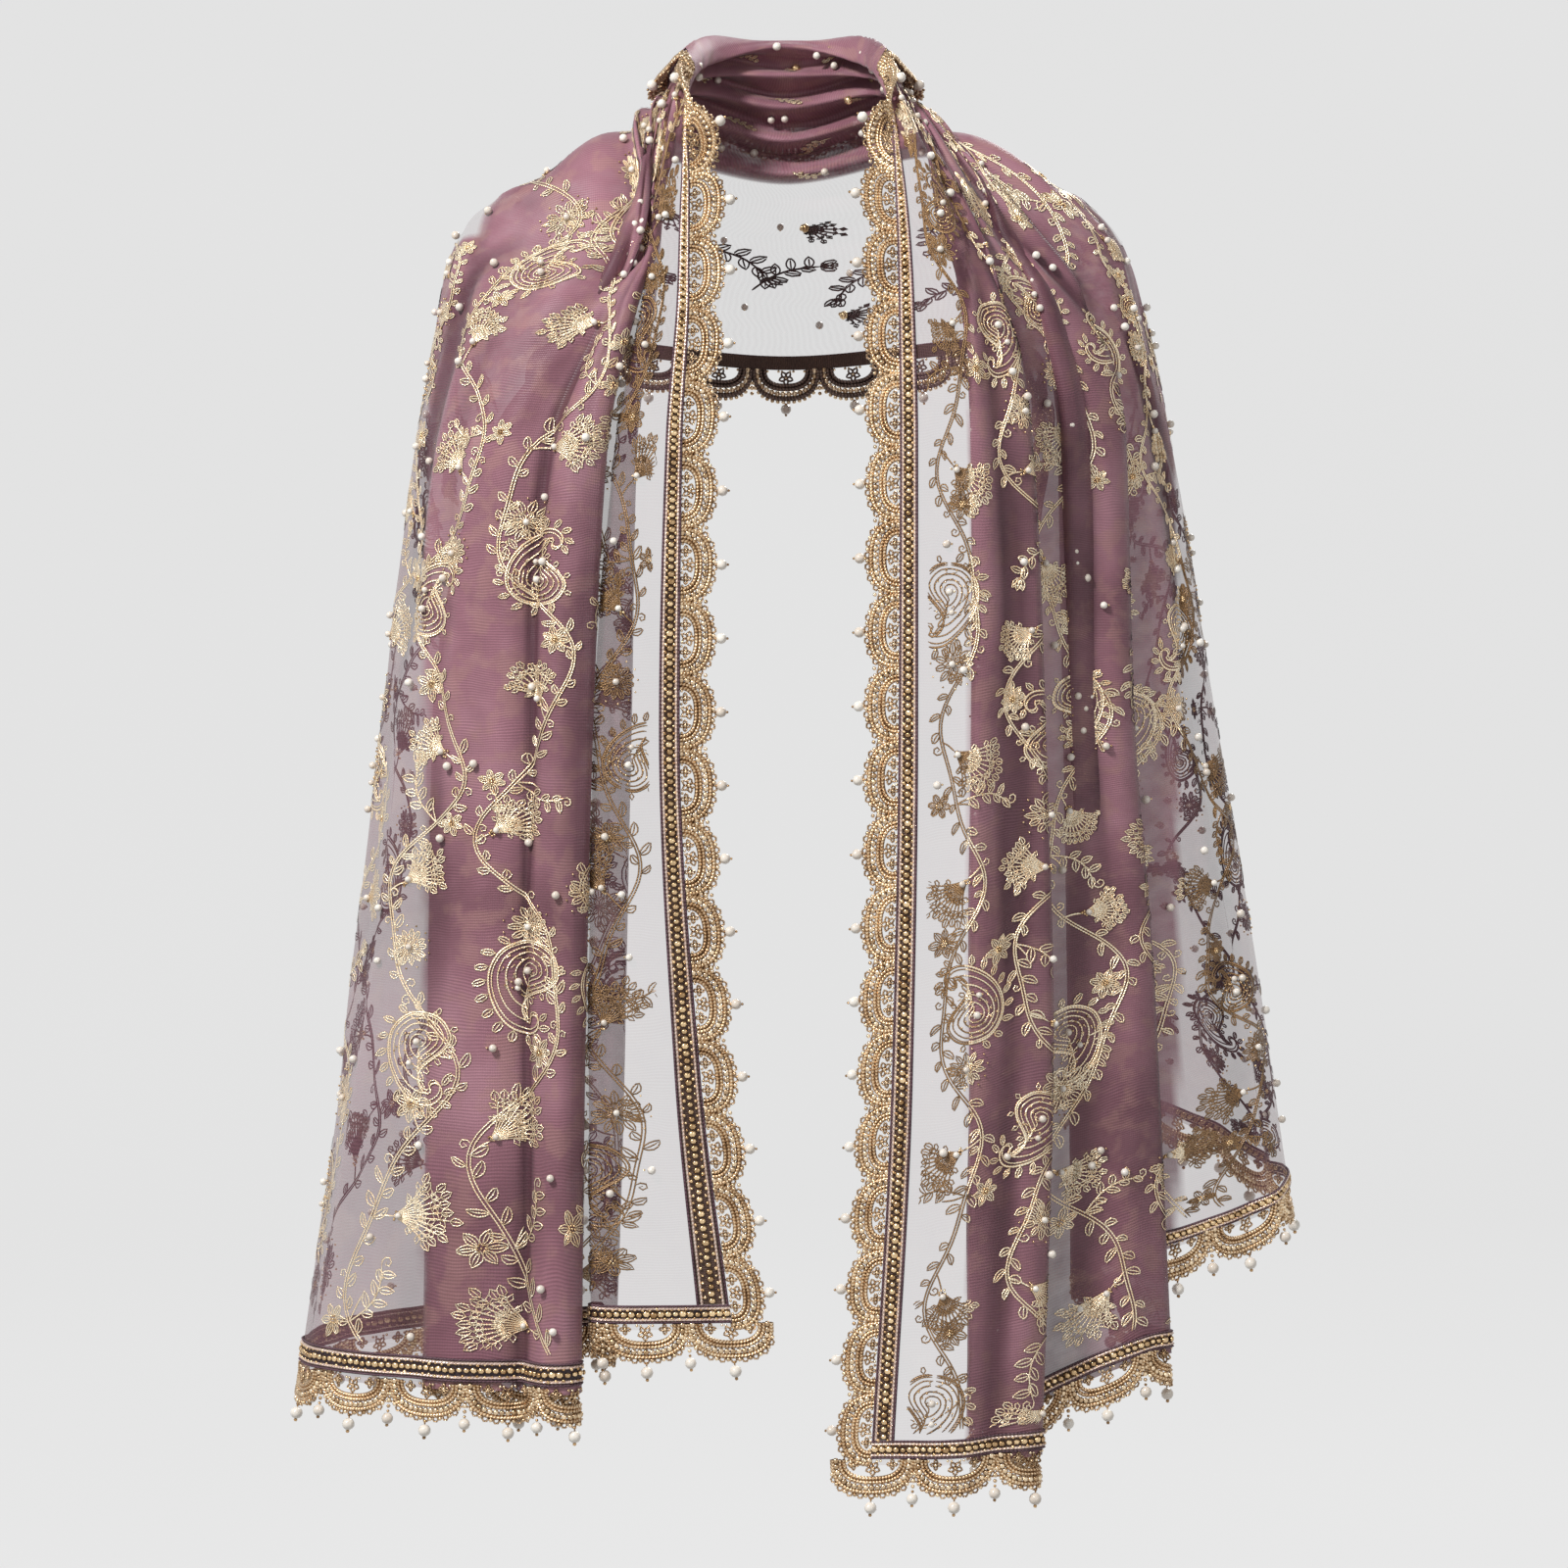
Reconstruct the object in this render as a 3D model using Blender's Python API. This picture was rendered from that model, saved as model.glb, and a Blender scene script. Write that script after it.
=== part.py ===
"""A sheer dupatta worn over both shoulders, edged with a beaded ribbon and scalloped lace.

Metres, +Z up, +X to the viewer's right, -Y to the front. The origin is the rest point between the shoulders.
The tables are in millimetres. The cloth is one rectangle: "run" is the distance along its length from the nape,
negative on the left fall, and "across" is the distance over its width from the upper long edge.
"""

import math
from collections import namedtuple

import bpy
import numpy as np
from mathutils import Vector
from mathutils.geometry import delaunay_2d_cdt

MM = 0.001

# Driving sizes
CLOTH_WIDTH = 860.0
CLOTH_WALL = 1.2
ARM_X = 130.0  # where the front of a fall starts to turn round the arm
FLAP_DEPTH = 100.0  # how much of the upper edge is turned over outward at the nape
FLAP_SQUARENESS = 2.2
CREST_RUN = 140.0  # the shoulder's crest, as a run from the nape
ROLL_PITCH = 100.0  # cloth taken up by each roll at the nape
ROLL_END = 500.0  # the rolls cover this much of the width
ROLL_FADE = 60.0
TURN_CLOTH = 5.0  # the least cloth on each side of a fold's edge
WRAP_STEPS = 5  # knots from the last fold to the side, and again from there to the back
SEAM_GAP = 0.3
CREST_GAP = 0.45  # from the crest to the pieces on either side of it
BAND_WIDTH = 24.0
BAND_WALL = 1.2
BAND_GAP = 0.45
LACE_WALL = 1.4
LACE_GAP = 0.8
CURL_GAP = 1.2  # added where the lace turns over to the back
LACE_VALLEY = 19.0  # the lace's depth between two scallops
LACE_SHOULDER = 27.0
LACE_TIP = 31.0
PEARL_TIP = 36.5  # the pearl sewn to each scallop's tip reaches this far
PEARL_HALF = 5.0
GAP_LOW, GAP_HIGH, GAP_SHOULDER = 4.5, 20.5, 16.0  # the cut gaps beside each scallop's flower
GAP_OUTER, GAP_MIDDLE, GAP_INNER = 0.37, 0.27, 0.075  # as shares of the scallop's pitch, from its middle

# One row for each fold of a fall, from the inner border outwards. "shoulder" to "hem" are its distances from the
# centre line at those levels, "arrive" and "leave" how far behind the front surface the cloth comes and goes,
# and "crown" how far the layer after it bulges forward.
Fold = namedtuple("Fold", "name across shoulder upper chest waist thigh hem hem_z arrive leave crown")
LEFT_FOLDS = (
    Fold("border", 0, 74, 74, 79, 81, 65, 41, -873, 16, 16, 5),
    Fold("tuck_edge", 68, 100, 110, 130, 146, 149, 149, -873, 16, 28, 0),
    Fold("tuck_back", 97, 91, 97, 112, 119, 126, 132, -879, 28, 40, 0),
    Fold("under_fold", 250, 121, 152, 227, 272, 277, 280, -905, 40, 22, 0),
    Fold("panel_edge", 380, 96, 113, 135, 146, 152, 155, -921, 22, 0, 6),
    Fold("valley", 435, 112, 141, 188, 200, 201, 201, -922, 12, 12, 0),
)
RIGHT_FOLDS = (
    Fold("border", 0, 84, 86, 87, 86, 81, 65, -977, 4, 4, 12),
    Fold("panel_edge", 125, 142, 172, 189, 198, 203, 197, -970, 0, 12, 0),
    Fold("under_fold", 188, 118, 130, 137, 139, 140, 138, -950, 12, 24, 0),
    Fold("middle_edge", 325, 190, 236, 262, 267, 287, 300, -900, 24, 36, 0),
    Fold("back_fold", 400, 165, 192, 210, 213, 216, 218, -836, 36, 48, 0),
)

# One row for each level of a fall. "border_z", "side_z" and "lower_z" are the heights of the inner border, of the
# outermost line and of the lower long edge. The hem's heights are each fold's own.
Level = namedtuple("Level", "name run border_z side_z lower_z side_x lower_x front_y back_y layering")
LEFT_LEVELS = (
    Level("shoulder", 250, -1, -48, -215, 261, 205, -85, 88, 0.45),
    Level("upper", 350, -83, -100, -265, 271, 198, -122, 96, 0.7),
    Level("chest", 465, -194, -203, -345, 289, 190, -140, 100, 1),
    Level("waist", 690, -418, -412, -480, 312, 185, -144, 102, 1),
    Level("thigh", 950, -680, -675, -680, 347, 190, -141, 104, 1),
    Level("hem", 1145, -873, -922, -908, 384, 200, -140, 105, 1),
)
RIGHT_LEVELS = (
    Level("shoulder", 250, -1, -50, -212, 267, 205, -85, 88, 0.45),
    Level("upper", 350, -83, -98, -252, 278, 198, -120, 96, 0.7),
    Level("chest", 465, -194, -190, -305, 300, 190, -133, 100, 1),
    Level("waist", 690, -418, -372, -415, 330, 185, -138, 102, 1),
    Level("thigh", 950, -680, -575, -560, 364, 185, -137, 104, 1),
    Level("hem", 1250, -977, -779, -712, 395, 190, -135, 105, 1),
)
LEFT_SIDE_ACROSS = 610.0
RIGHT_SIDE_ACROSS = 560.0

# One row for each point of the cloth's path away from its top fold, round the neck and over the shoulder.
# "reach" is the cloth's distance from the top fold.
PathPoint = namedtuple("PathPoint", "reach x y z")
CREST_PATH = (
    PathPoint(0, 73, 0, 95),
    PathPoint(220, 93, 3, 75),
    PathPoint(430, 124, 4, 53),
    PathPoint(590, 225, 2, -18),
    PathPoint(720, 233, 64, -72),
    PathPoint(860, 204, 100, -168),
)
BLADE_PATH = (
    PathPoint(0, 52, 56, 117),
    PathPoint(220, 69, 74, 88),
    PathPoint(430, 92, 88, 42),
    PathPoint(590, 148, 99, -24),
    PathPoint(810, 168, 116, -142),
)
NAPE_PATH = (
    PathPoint(0, 0, 85, 126),
    PathPoint(250, 0, 77, 66),
    PathPoint(500, 0, 83, -2),
    PathPoint(560, 0, 93, -26),
    PathPoint(640, 0, 102, -72),
    PathPoint(760, 0, 111, -134),
)
# "turn" is the path's angle round the neck, "ripple" the rolls' half height and "fold" the top fold's radius, so
# that the flap hangs two of these off the rolls
Collar = namedtuple("Collar", "run path turn ripple fold")
COLLAR = (
    Collar(CREST_RUN, CREST_PATH, 90, 5, 7),
    Collar(CREST_RUN / 2, BLADE_PATH, 45, 8, 9),
    Collar(0, NAPE_PATH, 0, 10.5, 10),
)

LEFT_HEM = -LEFT_LEVELS[-1].run
RIGHT_HEM = RIGHT_LEVELS[-1].run

# Scallops on each stretch of lace
INNER_LEFT_SCALLOPS = 18
INNER_RIGHT_SCALLOPS = 20
NAPE_SCALLOPS = 5
TURN_RUN = 215.0  # the inner lace turns over to the back between here and the crest
HEM_SCALLOPS = 16
SCALLOP_PITCH = 56.0

# The solids' grid: rows at these runs and columns at these distances across
COLUMN_STEP = 38.0
ROW_STEP = 100.0
SHOULDER_ROWS = (170, 205, 250, 300, 350, 405)
OUTER_COLUMNS = (470, 515, 560, 590, 620, 660, 700, 750, 795, CLOTH_WIDTH - BAND_WIDTH, CLOTH_WIDTH)
NAPE_ROWS = (0, 28, 56, 82, 104, 124)  # on each side of the middle, closer where the flap ends
FLAP_STEP = 12.0
ROLL_COLUMNS = 27
LACE_STEP = 60.0
SHARP_ANGLE = math.radians(40)

MAUVE = (0.30, 0.14, 0.20)
DEEP_MAUVE = (0.26, 0.12, 0.17)
RIBBON_GOLD = (0.42, 0.25, 0.12)
LACE_GOLD = (0.62, 0.42, 0.24)


def clear_scene():
    for obj in list(bpy.data.objects):
        bpy.data.objects.remove(obj, do_unlink=True)


def principled(name, colour, roughness, metallic=0.0):
    material = bpy.data.materials.new(name)
    material.use_nodes = True
    shader = material.node_tree.nodes["Principled BSDF"]
    shader.inputs["Base Color"].default_value = (*colour, 1.0)
    shader.inputs["Roughness"].default_value = roughness
    shader.inputs["Metallic"].default_value = metallic
    return material


def smooth_curve(knots, values, at, even=None):
    """Cubic curve through the values at the knots, extended straight past both ends.

    It is monotone between knots, so that layers stay apart, except at the inner knots marked in "even", where it
    keeps an even pace.
    """
    knots = np.asarray(knots, float)
    values = np.asarray(values, float)
    step = np.diff(knots)[:, None]
    slope = np.diff(values, axis=0) / step
    before, after = step[:-1], step[1:]
    ahead, behind = 2 * after + before, after + 2 * before
    same = slope[:-1] * slope[1:] > 0
    share = np.where(same, ahead / np.where(same, slope[:-1], 1) + behind / np.where(same, slope[1:], 1), 1)
    inner = np.where(same, (ahead + behind) / share, 0.0)
    if even is not None:
        paced = (after * slope[:-1] + before * slope[1:]) / (before + after)
        inner = np.where(even[:, None], paced, inner)
    tangent = np.vstack([slope[:1], inner, slope[-1:]])
    at = np.asarray(at, float)
    cell = np.clip(np.searchsorted(knots, at, side="right") - 1, 0, len(knots) - 2)
    width = step[cell]
    t = ((at - knots[cell])[:, None]) / width
    inside = np.clip(t, 0, 1)
    curve = (
        (2 * inside**3 - 3 * inside**2 + 1) * values[cell]
        + (inside**3 - 2 * inside**2 + inside) * width * tangent[cell]
        + (3 * inside**2 - 2 * inside**3) * values[cell + 1]
        + (inside**3 - inside**2) * width * tangent[cell + 1]
    )
    below, above = np.minimum(t, 0) * width, np.maximum(t - 1, 0) * width
    return curve + below * tangent[cell] + above * tangent[cell + 1]


def front_surface(x, level):
    """Depth of a fall's front surface, which turns round the arm as part of an ellipse."""
    turned = min(max((x - ARM_X) / (level.side_x - ARM_X), 0.0), 1.0)
    return level.front_y * math.sqrt(1 - turned * turned)


def fall_knots(folds, level, side_across):
    """The knots (across, x, y, z) of one section through a fall."""
    def height(across, fold=None):
        if fold is not None and level.name == "hem":
            return fold.hem_z
        if across <= side_across:
            start, end, share = level.border_z, level.side_z, across / side_across
            if level.name == "hem":
                start = folds[-1].hem_z
                share = (across - folds[-1].across) / (side_across - folds[-1].across)
            return start + (end - start) * share
        share = (across - side_across) / (CLOTH_WIDTH - side_across)
        return level.side_z + (level.lower_z - level.side_z) * math.sin(share * math.pi / 2) ** 2

    knots = []
    for number, fold in enumerate(folds):
        x = getattr(fold, level.name)
        z = height(fold.across, fold)
        base = front_surface(x, level)
        arrive, leave = fold.arrive * level.layering, fold.leave * level.layering
        if arrive == leave:
            knots.append((fold.across, x, base + arrive, z))
        else:
            came_from = getattr(folds[number - 1], level.name)
            half = abs(leave - arrive) / 2
            toward = math.copysign(half, x - came_from)
            cloth = max(half, TURN_CLOTH)
            knots.append((fold.across - cloth, x - toward, base + arrive, z))
            knots.append((fold.across, x, base + (arrive + leave) / 2, z))
            knots.append((fold.across + cloth, x - toward, base + leave, z))
        if fold.crown and number + 1 < len(folds):
            after = folds[number + 1]
            middle_x = (x + getattr(after, level.name)) / 2
            middle_z = (z + height(after.across, after)) / 2
            depth = (fold.leave + after.arrive) / 2 - fold.crown
            knots.append((
                (fold.across + after.across) / 2,
                middle_x,
                front_surface(middle_x, level) + depth * level.layering,
                middle_z,
            ))
    last = folds[-1]
    start_x = getattr(last, level.name)
    held_x = max(getattr(fold, level.name) for fold in folds if fold.leave <= last.leave)
    start_turn = math.asin(min((start_x - ARM_X) / (level.side_x - ARM_X), 1.0))
    for step in range(1, WRAP_STEPS + 1):
        share = step / WRAP_STEPS
        turn = start_turn + (math.pi / 2 - start_turn) * share
        across = last.across + (side_across - last.across) * share
        x = ARM_X + (level.side_x - ARM_X) * math.sin(turn)
        behind = last.leave * level.layering
        if x > held_x:
            behind *= 1 - ((x - held_x) / (level.side_x - held_x)) ** 2
        knots.append((across, x, level.front_y * math.cos(turn) + behind, height(across)))
    for step in range(1, WRAP_STEPS + 1):
        share = step / WRAP_STEPS
        turn = math.pi / 2 * (1 + share)
        across = side_across + (CLOTH_WIDTH - side_across) * share
        x = level.lower_x + (level.side_x - level.lower_x) * math.sin(turn)
        knots.append((across, x, -level.back_y * math.cos(turn), height(across)))
    return np.array(knots)


def fall_section(knots, sign, across):
    points = smooth_curve(knots[:, 0], knots[:, 1:], across)
    return points * np.array([sign, 1, 1])


def collar_section(collar, sign, reach):
    """Points at these reaches from the top fold. A negative reach is on the flap, over the rolls."""
    path = np.array(collar.path, float)
    turn = math.radians(collar.turn)
    ring = np.array([math.cos(turn), -math.sin(turn), 0.0])

    def on_path(at):
        return smooth_curve(path[:, 0], path[:, 1:], at)

    def outward(at):
        along = on_path(at + 1.0) - on_path(at - 1.0)
        normal = np.cross(ring, along)
        return normal / np.linalg.norm(normal, axis=1)[:, None]

    fine = np.linspace(0, ROLL_END, 251)
    travelled = np.concatenate([[0], np.cumsum(np.linalg.norm(np.diff(on_path(fine), axis=0), axis=1))])
    main = np.maximum(reach, 0)
    fade = np.clip((ROLL_END + ROLL_FADE - main) / ROLL_FADE, 0, 1)
    wave = -collar.ripple * fade * np.sin(2 * math.pi * main / ROLL_PITCH)
    points = on_path(main) + wave[:, None] * outward(main)
    over = np.maximum(-reach, 0)
    turned = np.minimum(over / collar.fold, math.pi)
    down = np.maximum(over - math.pi * collar.fold, 0) - collar.fold * np.sin(turned)
    under = np.where(down > 0, np.interp(down, travelled, fine), down)
    stand = collar.fold * (1 - np.cos(turned))
    flap = on_path(under) + stand[:, None] * outward(under)
    return np.where((reach < 0)[:, None], flap, points) * np.array([sign, 1, 1])


def flap_depth(run):
    """How much of the upper edge is turned over at this run: all of it at the nape, none from the crest on."""
    share = min(abs(run) / CREST_RUN, 1.0) ** FLAP_SQUARENESS
    return FLAP_DEPTH * (0.5 + 0.5 * math.cos(math.pi * share))


class Cloth:
    """The draped sheet: points at (run, across), from sections set along its length."""

    def __init__(self):
        self.runs, self.sections = [], []
        left = [(-level.run, fall_knots(LEFT_FOLDS, level, LEFT_SIDE_ACROSS)) for level in LEFT_LEVELS]
        right = [(level.run, fall_knots(RIGHT_FOLDS, level, RIGHT_SIDE_ACROSS)) for level in RIGHT_LEVELS]
        for run, knots in reversed(left):
            self.add(run, lambda across, reach, knots=knots: fall_section(knots, -1, across))
        for collar in COLLAR:
            self.add(-collar.run, lambda across, reach, collar=collar: collar_section(collar, -1, reach))
        for collar in reversed(COLLAR[:-1]):
            self.add(collar.run, lambda across, reach, collar=collar: collar_section(collar, 1, reach))
        for run, knots in right:
            self.add(run, lambda across, reach, knots=knots: fall_section(knots, 1, across))

    def add(self, run, section):
        self.runs.append(run)
        self.sections.append(section)

    def row(self, run, across):
        across = np.asarray(across, float)
        reach = across - flap_depth(run)
        stack = np.array([section(across, reach) for section in self.sections])
        flat = stack.reshape(len(self.runs), -1)
        even = np.abs(self.runs[1:-1]) <= CREST_RUN
        return smooth_curve(self.runs, flat, [run], even).reshape(len(across), 3)

    def grid(self, runs, across):
        return np.array([self.row(run, across) for run in runs])

    def normals(self, runs, across):
        """Unit normals on the cloth's right side."""
        step = 1.0
        runs, across = np.asarray(runs, float), np.asarray(across, float)
        along = self.grid(runs + step, across) - self.grid(runs - step, across)
        over = self.grid(runs, across + step) - self.grid(runs, across - step)
        return unit(np.cross(along, over))


def unit(vectors):
    return vectors / np.linalg.norm(vectors, axis=-1)[..., None]


def wall(name, points, normals, faces, thickness, material, collection):
    """A closed wall about an open surface. Neighbours share the cloth's normals, so their seams stay parallel."""
    points, normals = np.asarray(points).reshape(-1, 3), np.asarray(normals).reshape(-1, 3)
    count = len(points)
    both = np.vstack([points + normals * thickness / 2, points - normals * thickness / 2]) * MM
    edges = {}
    for face in faces:
        for start, end in zip(face, face[1:] + face[:1]):
            edges[(start, end)] = (end, start) in edges or edges.pop((end, start), None)
    rims = [edge for edge in edges if edge[::-1] not in edges]
    under = [tuple(index + count for index in reversed(face)) for face in faces]
    sides = [(end, start, start + count, end + count) for start, end in rims]
    mesh = bpy.data.meshes.new(name)
    mesh.from_pydata([tuple(v) for v in both], [], list(faces) + under + sides)
    mesh.update()
    mesh.shade_smooth()
    mesh.set_sharp_from_angle(angle=SHARP_ANGLE)
    mesh.materials.append(material)
    obj = bpy.data.objects.new(name, mesh)
    collection.objects.link(obj)
    return obj


def grid_faces(rows, columns):
    """Two triangles to a cell, split the same way everywhere, so that a ribbon stays clear of the cloth under it."""
    faces = []
    for r in range(rows - 1):
        for c in range(columns - 1):
            here, below = r * columns + c, (r + 1) * columns + c
            faces += [(here, below, below + 1), (here, below + 1, here + 1)]
    return faces


def spread(marks, longest):
    """The marks, with even steps no longer than this between them."""
    marks = sorted(set(marks))
    spaced = [marks[0]]
    for start, end in zip(marks, marks[1:]):
        count = max(1, math.ceil((end - start) / longest - 1e-9))
        spaced += [start + (end - start) * (k + 1) / count for k in range(count)]
    return np.array(spaced)


class Panel:
    """One stretch of the cloth as a coarse grid, from which all that lies on it or hangs from it is made."""

    def __init__(self, cloth, rows, columns):
        self.cloth, self.rows, self.columns = cloth, np.array(rows), np.array(columns)
        self.points = cloth.grid(rows, columns)
        self.normals = cloth.normals(rows, columns)

    def make_wall(self, name, material, collection):
        faces = grid_faces(len(self.rows), len(self.columns))
        wall(name, self.points, self.normals, faces, CLOTH_WALL, material, collection)

    def make_band(self, name, rows, columns, material, collection, cut=None):
        """A ribbon on the right side of these rows and columns. cut is the row shortened by a seam's gap."""
        points = self.points[rows, columns].copy()
        normals = self.normals[rows, columns]
        if cut is not None:
            step = points[1 if cut == 0 else -2] - points[cut]
            points[cut] += unit(step) * 2 * SEAM_GAP
        lift = CLOTH_WALL / 2 + BAND_GAP + BAND_WALL / 2
        faces = grid_faces(*points.shape[:2])
        wall(name, points + normals * lift, normals, faces, BAND_WALL, material, collection)


def scallop_depth(phase):
    """The lace's depth at a phase of 0 to 1 through a scallop, without its pearl."""
    marks = (0.0, 0.25, 0.5, 0.75, 1.0)
    return np.interp(phase, marks, (LACE_VALLEY, LACE_SHOULDER, LACE_TIP, LACE_SHOULDER, LACE_VALLEY))


def lace_outline(length, count, bends, top_marks):
    """The lace laid flat: its outline and the gaps cut in it, as (along, out) points."""
    pitch = length / count
    outline = []
    for number in range(count):
        middle = (number + 0.5) * pitch
        outline += [
            (number * pitch, LACE_VALLEY),
            (middle - pitch / 4, LACE_SHOULDER),
            (middle - PEARL_HALF, LACE_TIP),
            (middle, PEARL_TIP),
            (middle + PEARL_HALF, LACE_TIP),
            (middle + pitch / 4, LACE_SHOULDER),
        ]
    outline.append((length, LACE_VALLEY))
    taken = np.array([point[0] for point in outline])
    for bend in bends:
        if 1 < bend < length - 1 and np.abs(taken - bend).min() > 2.5:
            outline.append((bend, float(scallop_depth(bend / pitch % 1))))
    outline.sort(key=lambda point: -point[0])
    inside = [mark for mark in top_marks if 0.5 < mark < length - 0.5]
    border = [(a, LACE_GAP) for a in spread([0, length] + inside, LACE_STEP)] + outline
    gaps = []
    for number in range(count):
        middle = (number + 0.5) * pitch
        for sign in (-1, 1):
            gap = [
                (middle + sign * GAP_OUTER * pitch, GAP_LOW),
                (middle + sign * GAP_INNER * pitch, GAP_LOW),
                (middle + sign * GAP_INNER * pitch, GAP_HIGH),
                (middle + sign * GAP_MIDDLE * pitch, GAP_SHOULDER),
            ]
            gaps.append(gap[::-sign])
    return border, gaps


def travelled(line):
    """Distance along a line of points."""
    return np.concatenate([[0], np.cumsum(np.linalg.norm(np.diff(line, axis=0), axis=1))])


def between(at, marks, values):
    """Linear interpolation of vectors."""
    return np.stack([np.interp(at, marks, values[:, k]) for k in range(values.shape[1])], axis=1)


def lace(name, length, count, bends, top_marks, place, material, collection):
    """Scalloped lace. place(along, out) gives the points in space and their normals."""
    border, gaps = lace_outline(length, count, bends, top_marks)
    points, polygons = [], []
    for polygon in [border] + gaps:
        polygons.append(list(range(len(points), len(points) + len(polygon))))
        points += polygon
    flat = [Vector(point) for point in points]
    verts, _, triangles, _, _, sources = delaunay_2d_cdt(flat, [], polygons, 1, 1e-5)
    kept = [tri for tri, source in zip(triangles, sources) if source == [0]]
    used = sorted({index for tri in kept for index in tri})
    number = {index: k for k, index in enumerate(used)}
    along = np.array([verts[index].x for index in used])
    out = np.array([verts[index].y for index in used])
    faces = [tuple(number[index] for index in tri) for tri in kept]
    where, normals = place(along, out)
    corners = where[np.array(faces)]
    facing = np.cross(corners[:, 1] - corners[:, 0], corners[:, 2] - corners[:, 0])
    if np.sum(facing * normals[np.array(faces)[:, 0]]) < 0:
        faces = [face[::-1] for face in faces]
    wall(name, where, normals, faces, LACE_WALL, material, collection)


def long_edge_lace(name, panel, lower, trim, count, material, collection):
    """Lace along a panel's upper or lower edge. trim shortens it at a hem: (start, end)."""
    column = -1 if lower else 0
    across = panel.columns[column]
    edge, normals = panel.points[:, column], panel.normals[:, column]
    inside = across + (-1.0 if lower else 1.0)
    outward = unit(edge - panel.cloth.grid(panel.rows, [inside])[:, 0])
    marks = travelled(edge)
    start, end = trim
    length = marks[-1] - start - end

    def place(along, out):
        at = along + start
        facing = unit(between(at, marks, normals))
        if lower:
            return between(at, marks, edge) + unit(between(at, marks, outward)) * out[:, None], facing
        runs = np.interp(at, marks, panel.rows)
        turned = np.clip((TURN_RUN - np.abs(runs)) / (TURN_RUN - CREST_RUN), 0, 1)
        depths = out + CURL_GAP * np.minimum(5 * turned, 1)
        straight = unit(between(at, marks, outward)) * depths[:, None]
        pairs = list(zip(runs, depths))
        curled = np.array([np.diff(panel.cloth.row(run, [0.0, -depth]), axis=0)[0] for run, depth in pairs])
        behind = np.array([panel.cloth.normals([run], [-depth])[0, 0] for run, depth in pairs])
        turned = turned[:, None]
        hanging = straight * (1 - turned) + curled * turned
        facing = unit(facing * (1 - turned) + behind * turned)
        return between(at, marks, edge) + hanging, facing

    scallops = count or round(length / SCALLOP_PITCH)
    lace(name, length, scallops, [], list(marks - start), place, material, collection)


def hem_lace(name, panel, row, bends, material, collection):
    """Lace along a short end, past both corners by the lace's own depth."""
    run = panel.rows[row]
    hem, normals = panel.points[row], panel.normals[row]
    inside = run - math.copysign(1.0, run)
    down = unit(hem - panel.cloth.row(inside, panel.columns))
    corner_points = panel.cloth.row(run, [0.0, 1.0, CLOTH_WIDTH - 1.0, CLOTH_WIDTH])
    past_start = unit(corner_points[0] - corner_points[1])
    past_end = unit(corner_points[3] - corner_points[2])
    marks = travelled(hem)
    past = LACE_TIP

    def place(along, out):
        at = along - past
        origin = between(at, marks, hem)
        origin += np.maximum(-at, 0)[:, None] * past_start
        origin += np.maximum(at - marks[-1], 0)[:, None] * past_end
        return origin + unit(between(at, marks, down)) * out[:, None], unit(between(at, marks, normals))

    near = [float(np.interp(bend, panel.columns, marks)) + past for bend in bends]
    lace(name, marks[-1] + 2 * past, HEM_SCALLOPS, near, list(marks + past), place, material, collection)


def turn_columns(folds):
    """Five places across the cloth at each of the folds that turn it back."""
    marks = []
    for fold in folds:
        if fold.arrive != fold.leave:
            cloth = max(abs(fold.leave - fold.arrive) / 2, TURN_CLOTH)
            marks += [fold.across + cloth * k for k in (-1, -0.5, 0, 0.5, 1)]
    return marks


def fall_columns(folds):
    marks = [0.0, BAND_WIDTH, OUTER_COLUMNS[0]]
    marks += [fold.across for fold in folds if fold.arrive == fold.leave]
    return np.concatenate([spread(marks + turn_columns(folds), COLUMN_STEP), OUTER_COLUMNS[1:]])


def fall_rows(levels, sign):
    hem = levels[-1].run
    marks = [CREST_RUN + CREST_GAP, *SHOULDER_ROWS, *[level.run for level in levels[2:]], hem - BAND_WIDTH]
    rows = spread(marks, ROW_STEP) * sign
    return rows if sign > 0 else rows[::-1]


def nape_columns():
    flap = np.arange(0, FLAP_DEPTH + 1, FLAP_STEP)
    rolls = np.linspace(flap[-1] + FLAP_STEP, ROLL_END + ROLL_FADE, ROLL_COLUMNS)
    return np.concatenate([flap, rolls, [column for column in OUTER_COLUMNS if column > rolls[-1]]])


def build_fall(cloth, side, folds, levels, count, materials, collection):
    """One fall: its cloth, the ribbon on its three edges and the lace outside them."""
    mauve, ribbon, thread = materials
    sign = -1 if side == "left" else 1
    panel = Panel(cloth, fall_rows(levels, sign), fall_columns(folds))
    panel.make_wall(f"cloth_{side}_fall", mauve, collection)
    hem_row = 0 if sign < 0 else -1
    hem_rows, other_rows = (slice(0, 2), slice(1, None)) if sign < 0 else (slice(-2, None), slice(0, -1))
    panel.make_band(f"band_hem_{side}", hem_rows, slice(None), ribbon, collection)
    panel.make_band(f"band_inner_{side}", other_rows, slice(0, 2), ribbon, collection, hem_row)
    panel.make_band(f"band_lower_{side}", other_rows, slice(-2, None), ribbon, collection, hem_row)
    trim = (SEAM_GAP, 0) if sign < 0 else (0, SEAM_GAP)
    long_edge_lace(f"lace_inner_{side}", panel, False, trim, count, thread, collection)
    long_edge_lace(f"lace_lower_{side}", panel, True, trim, None, thread, collection)
    hem_lace(f"lace_hem_{side}", panel, hem_row, turn_columns(folds) + [0, CLOTH_WIDTH], thread, collection)


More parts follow.
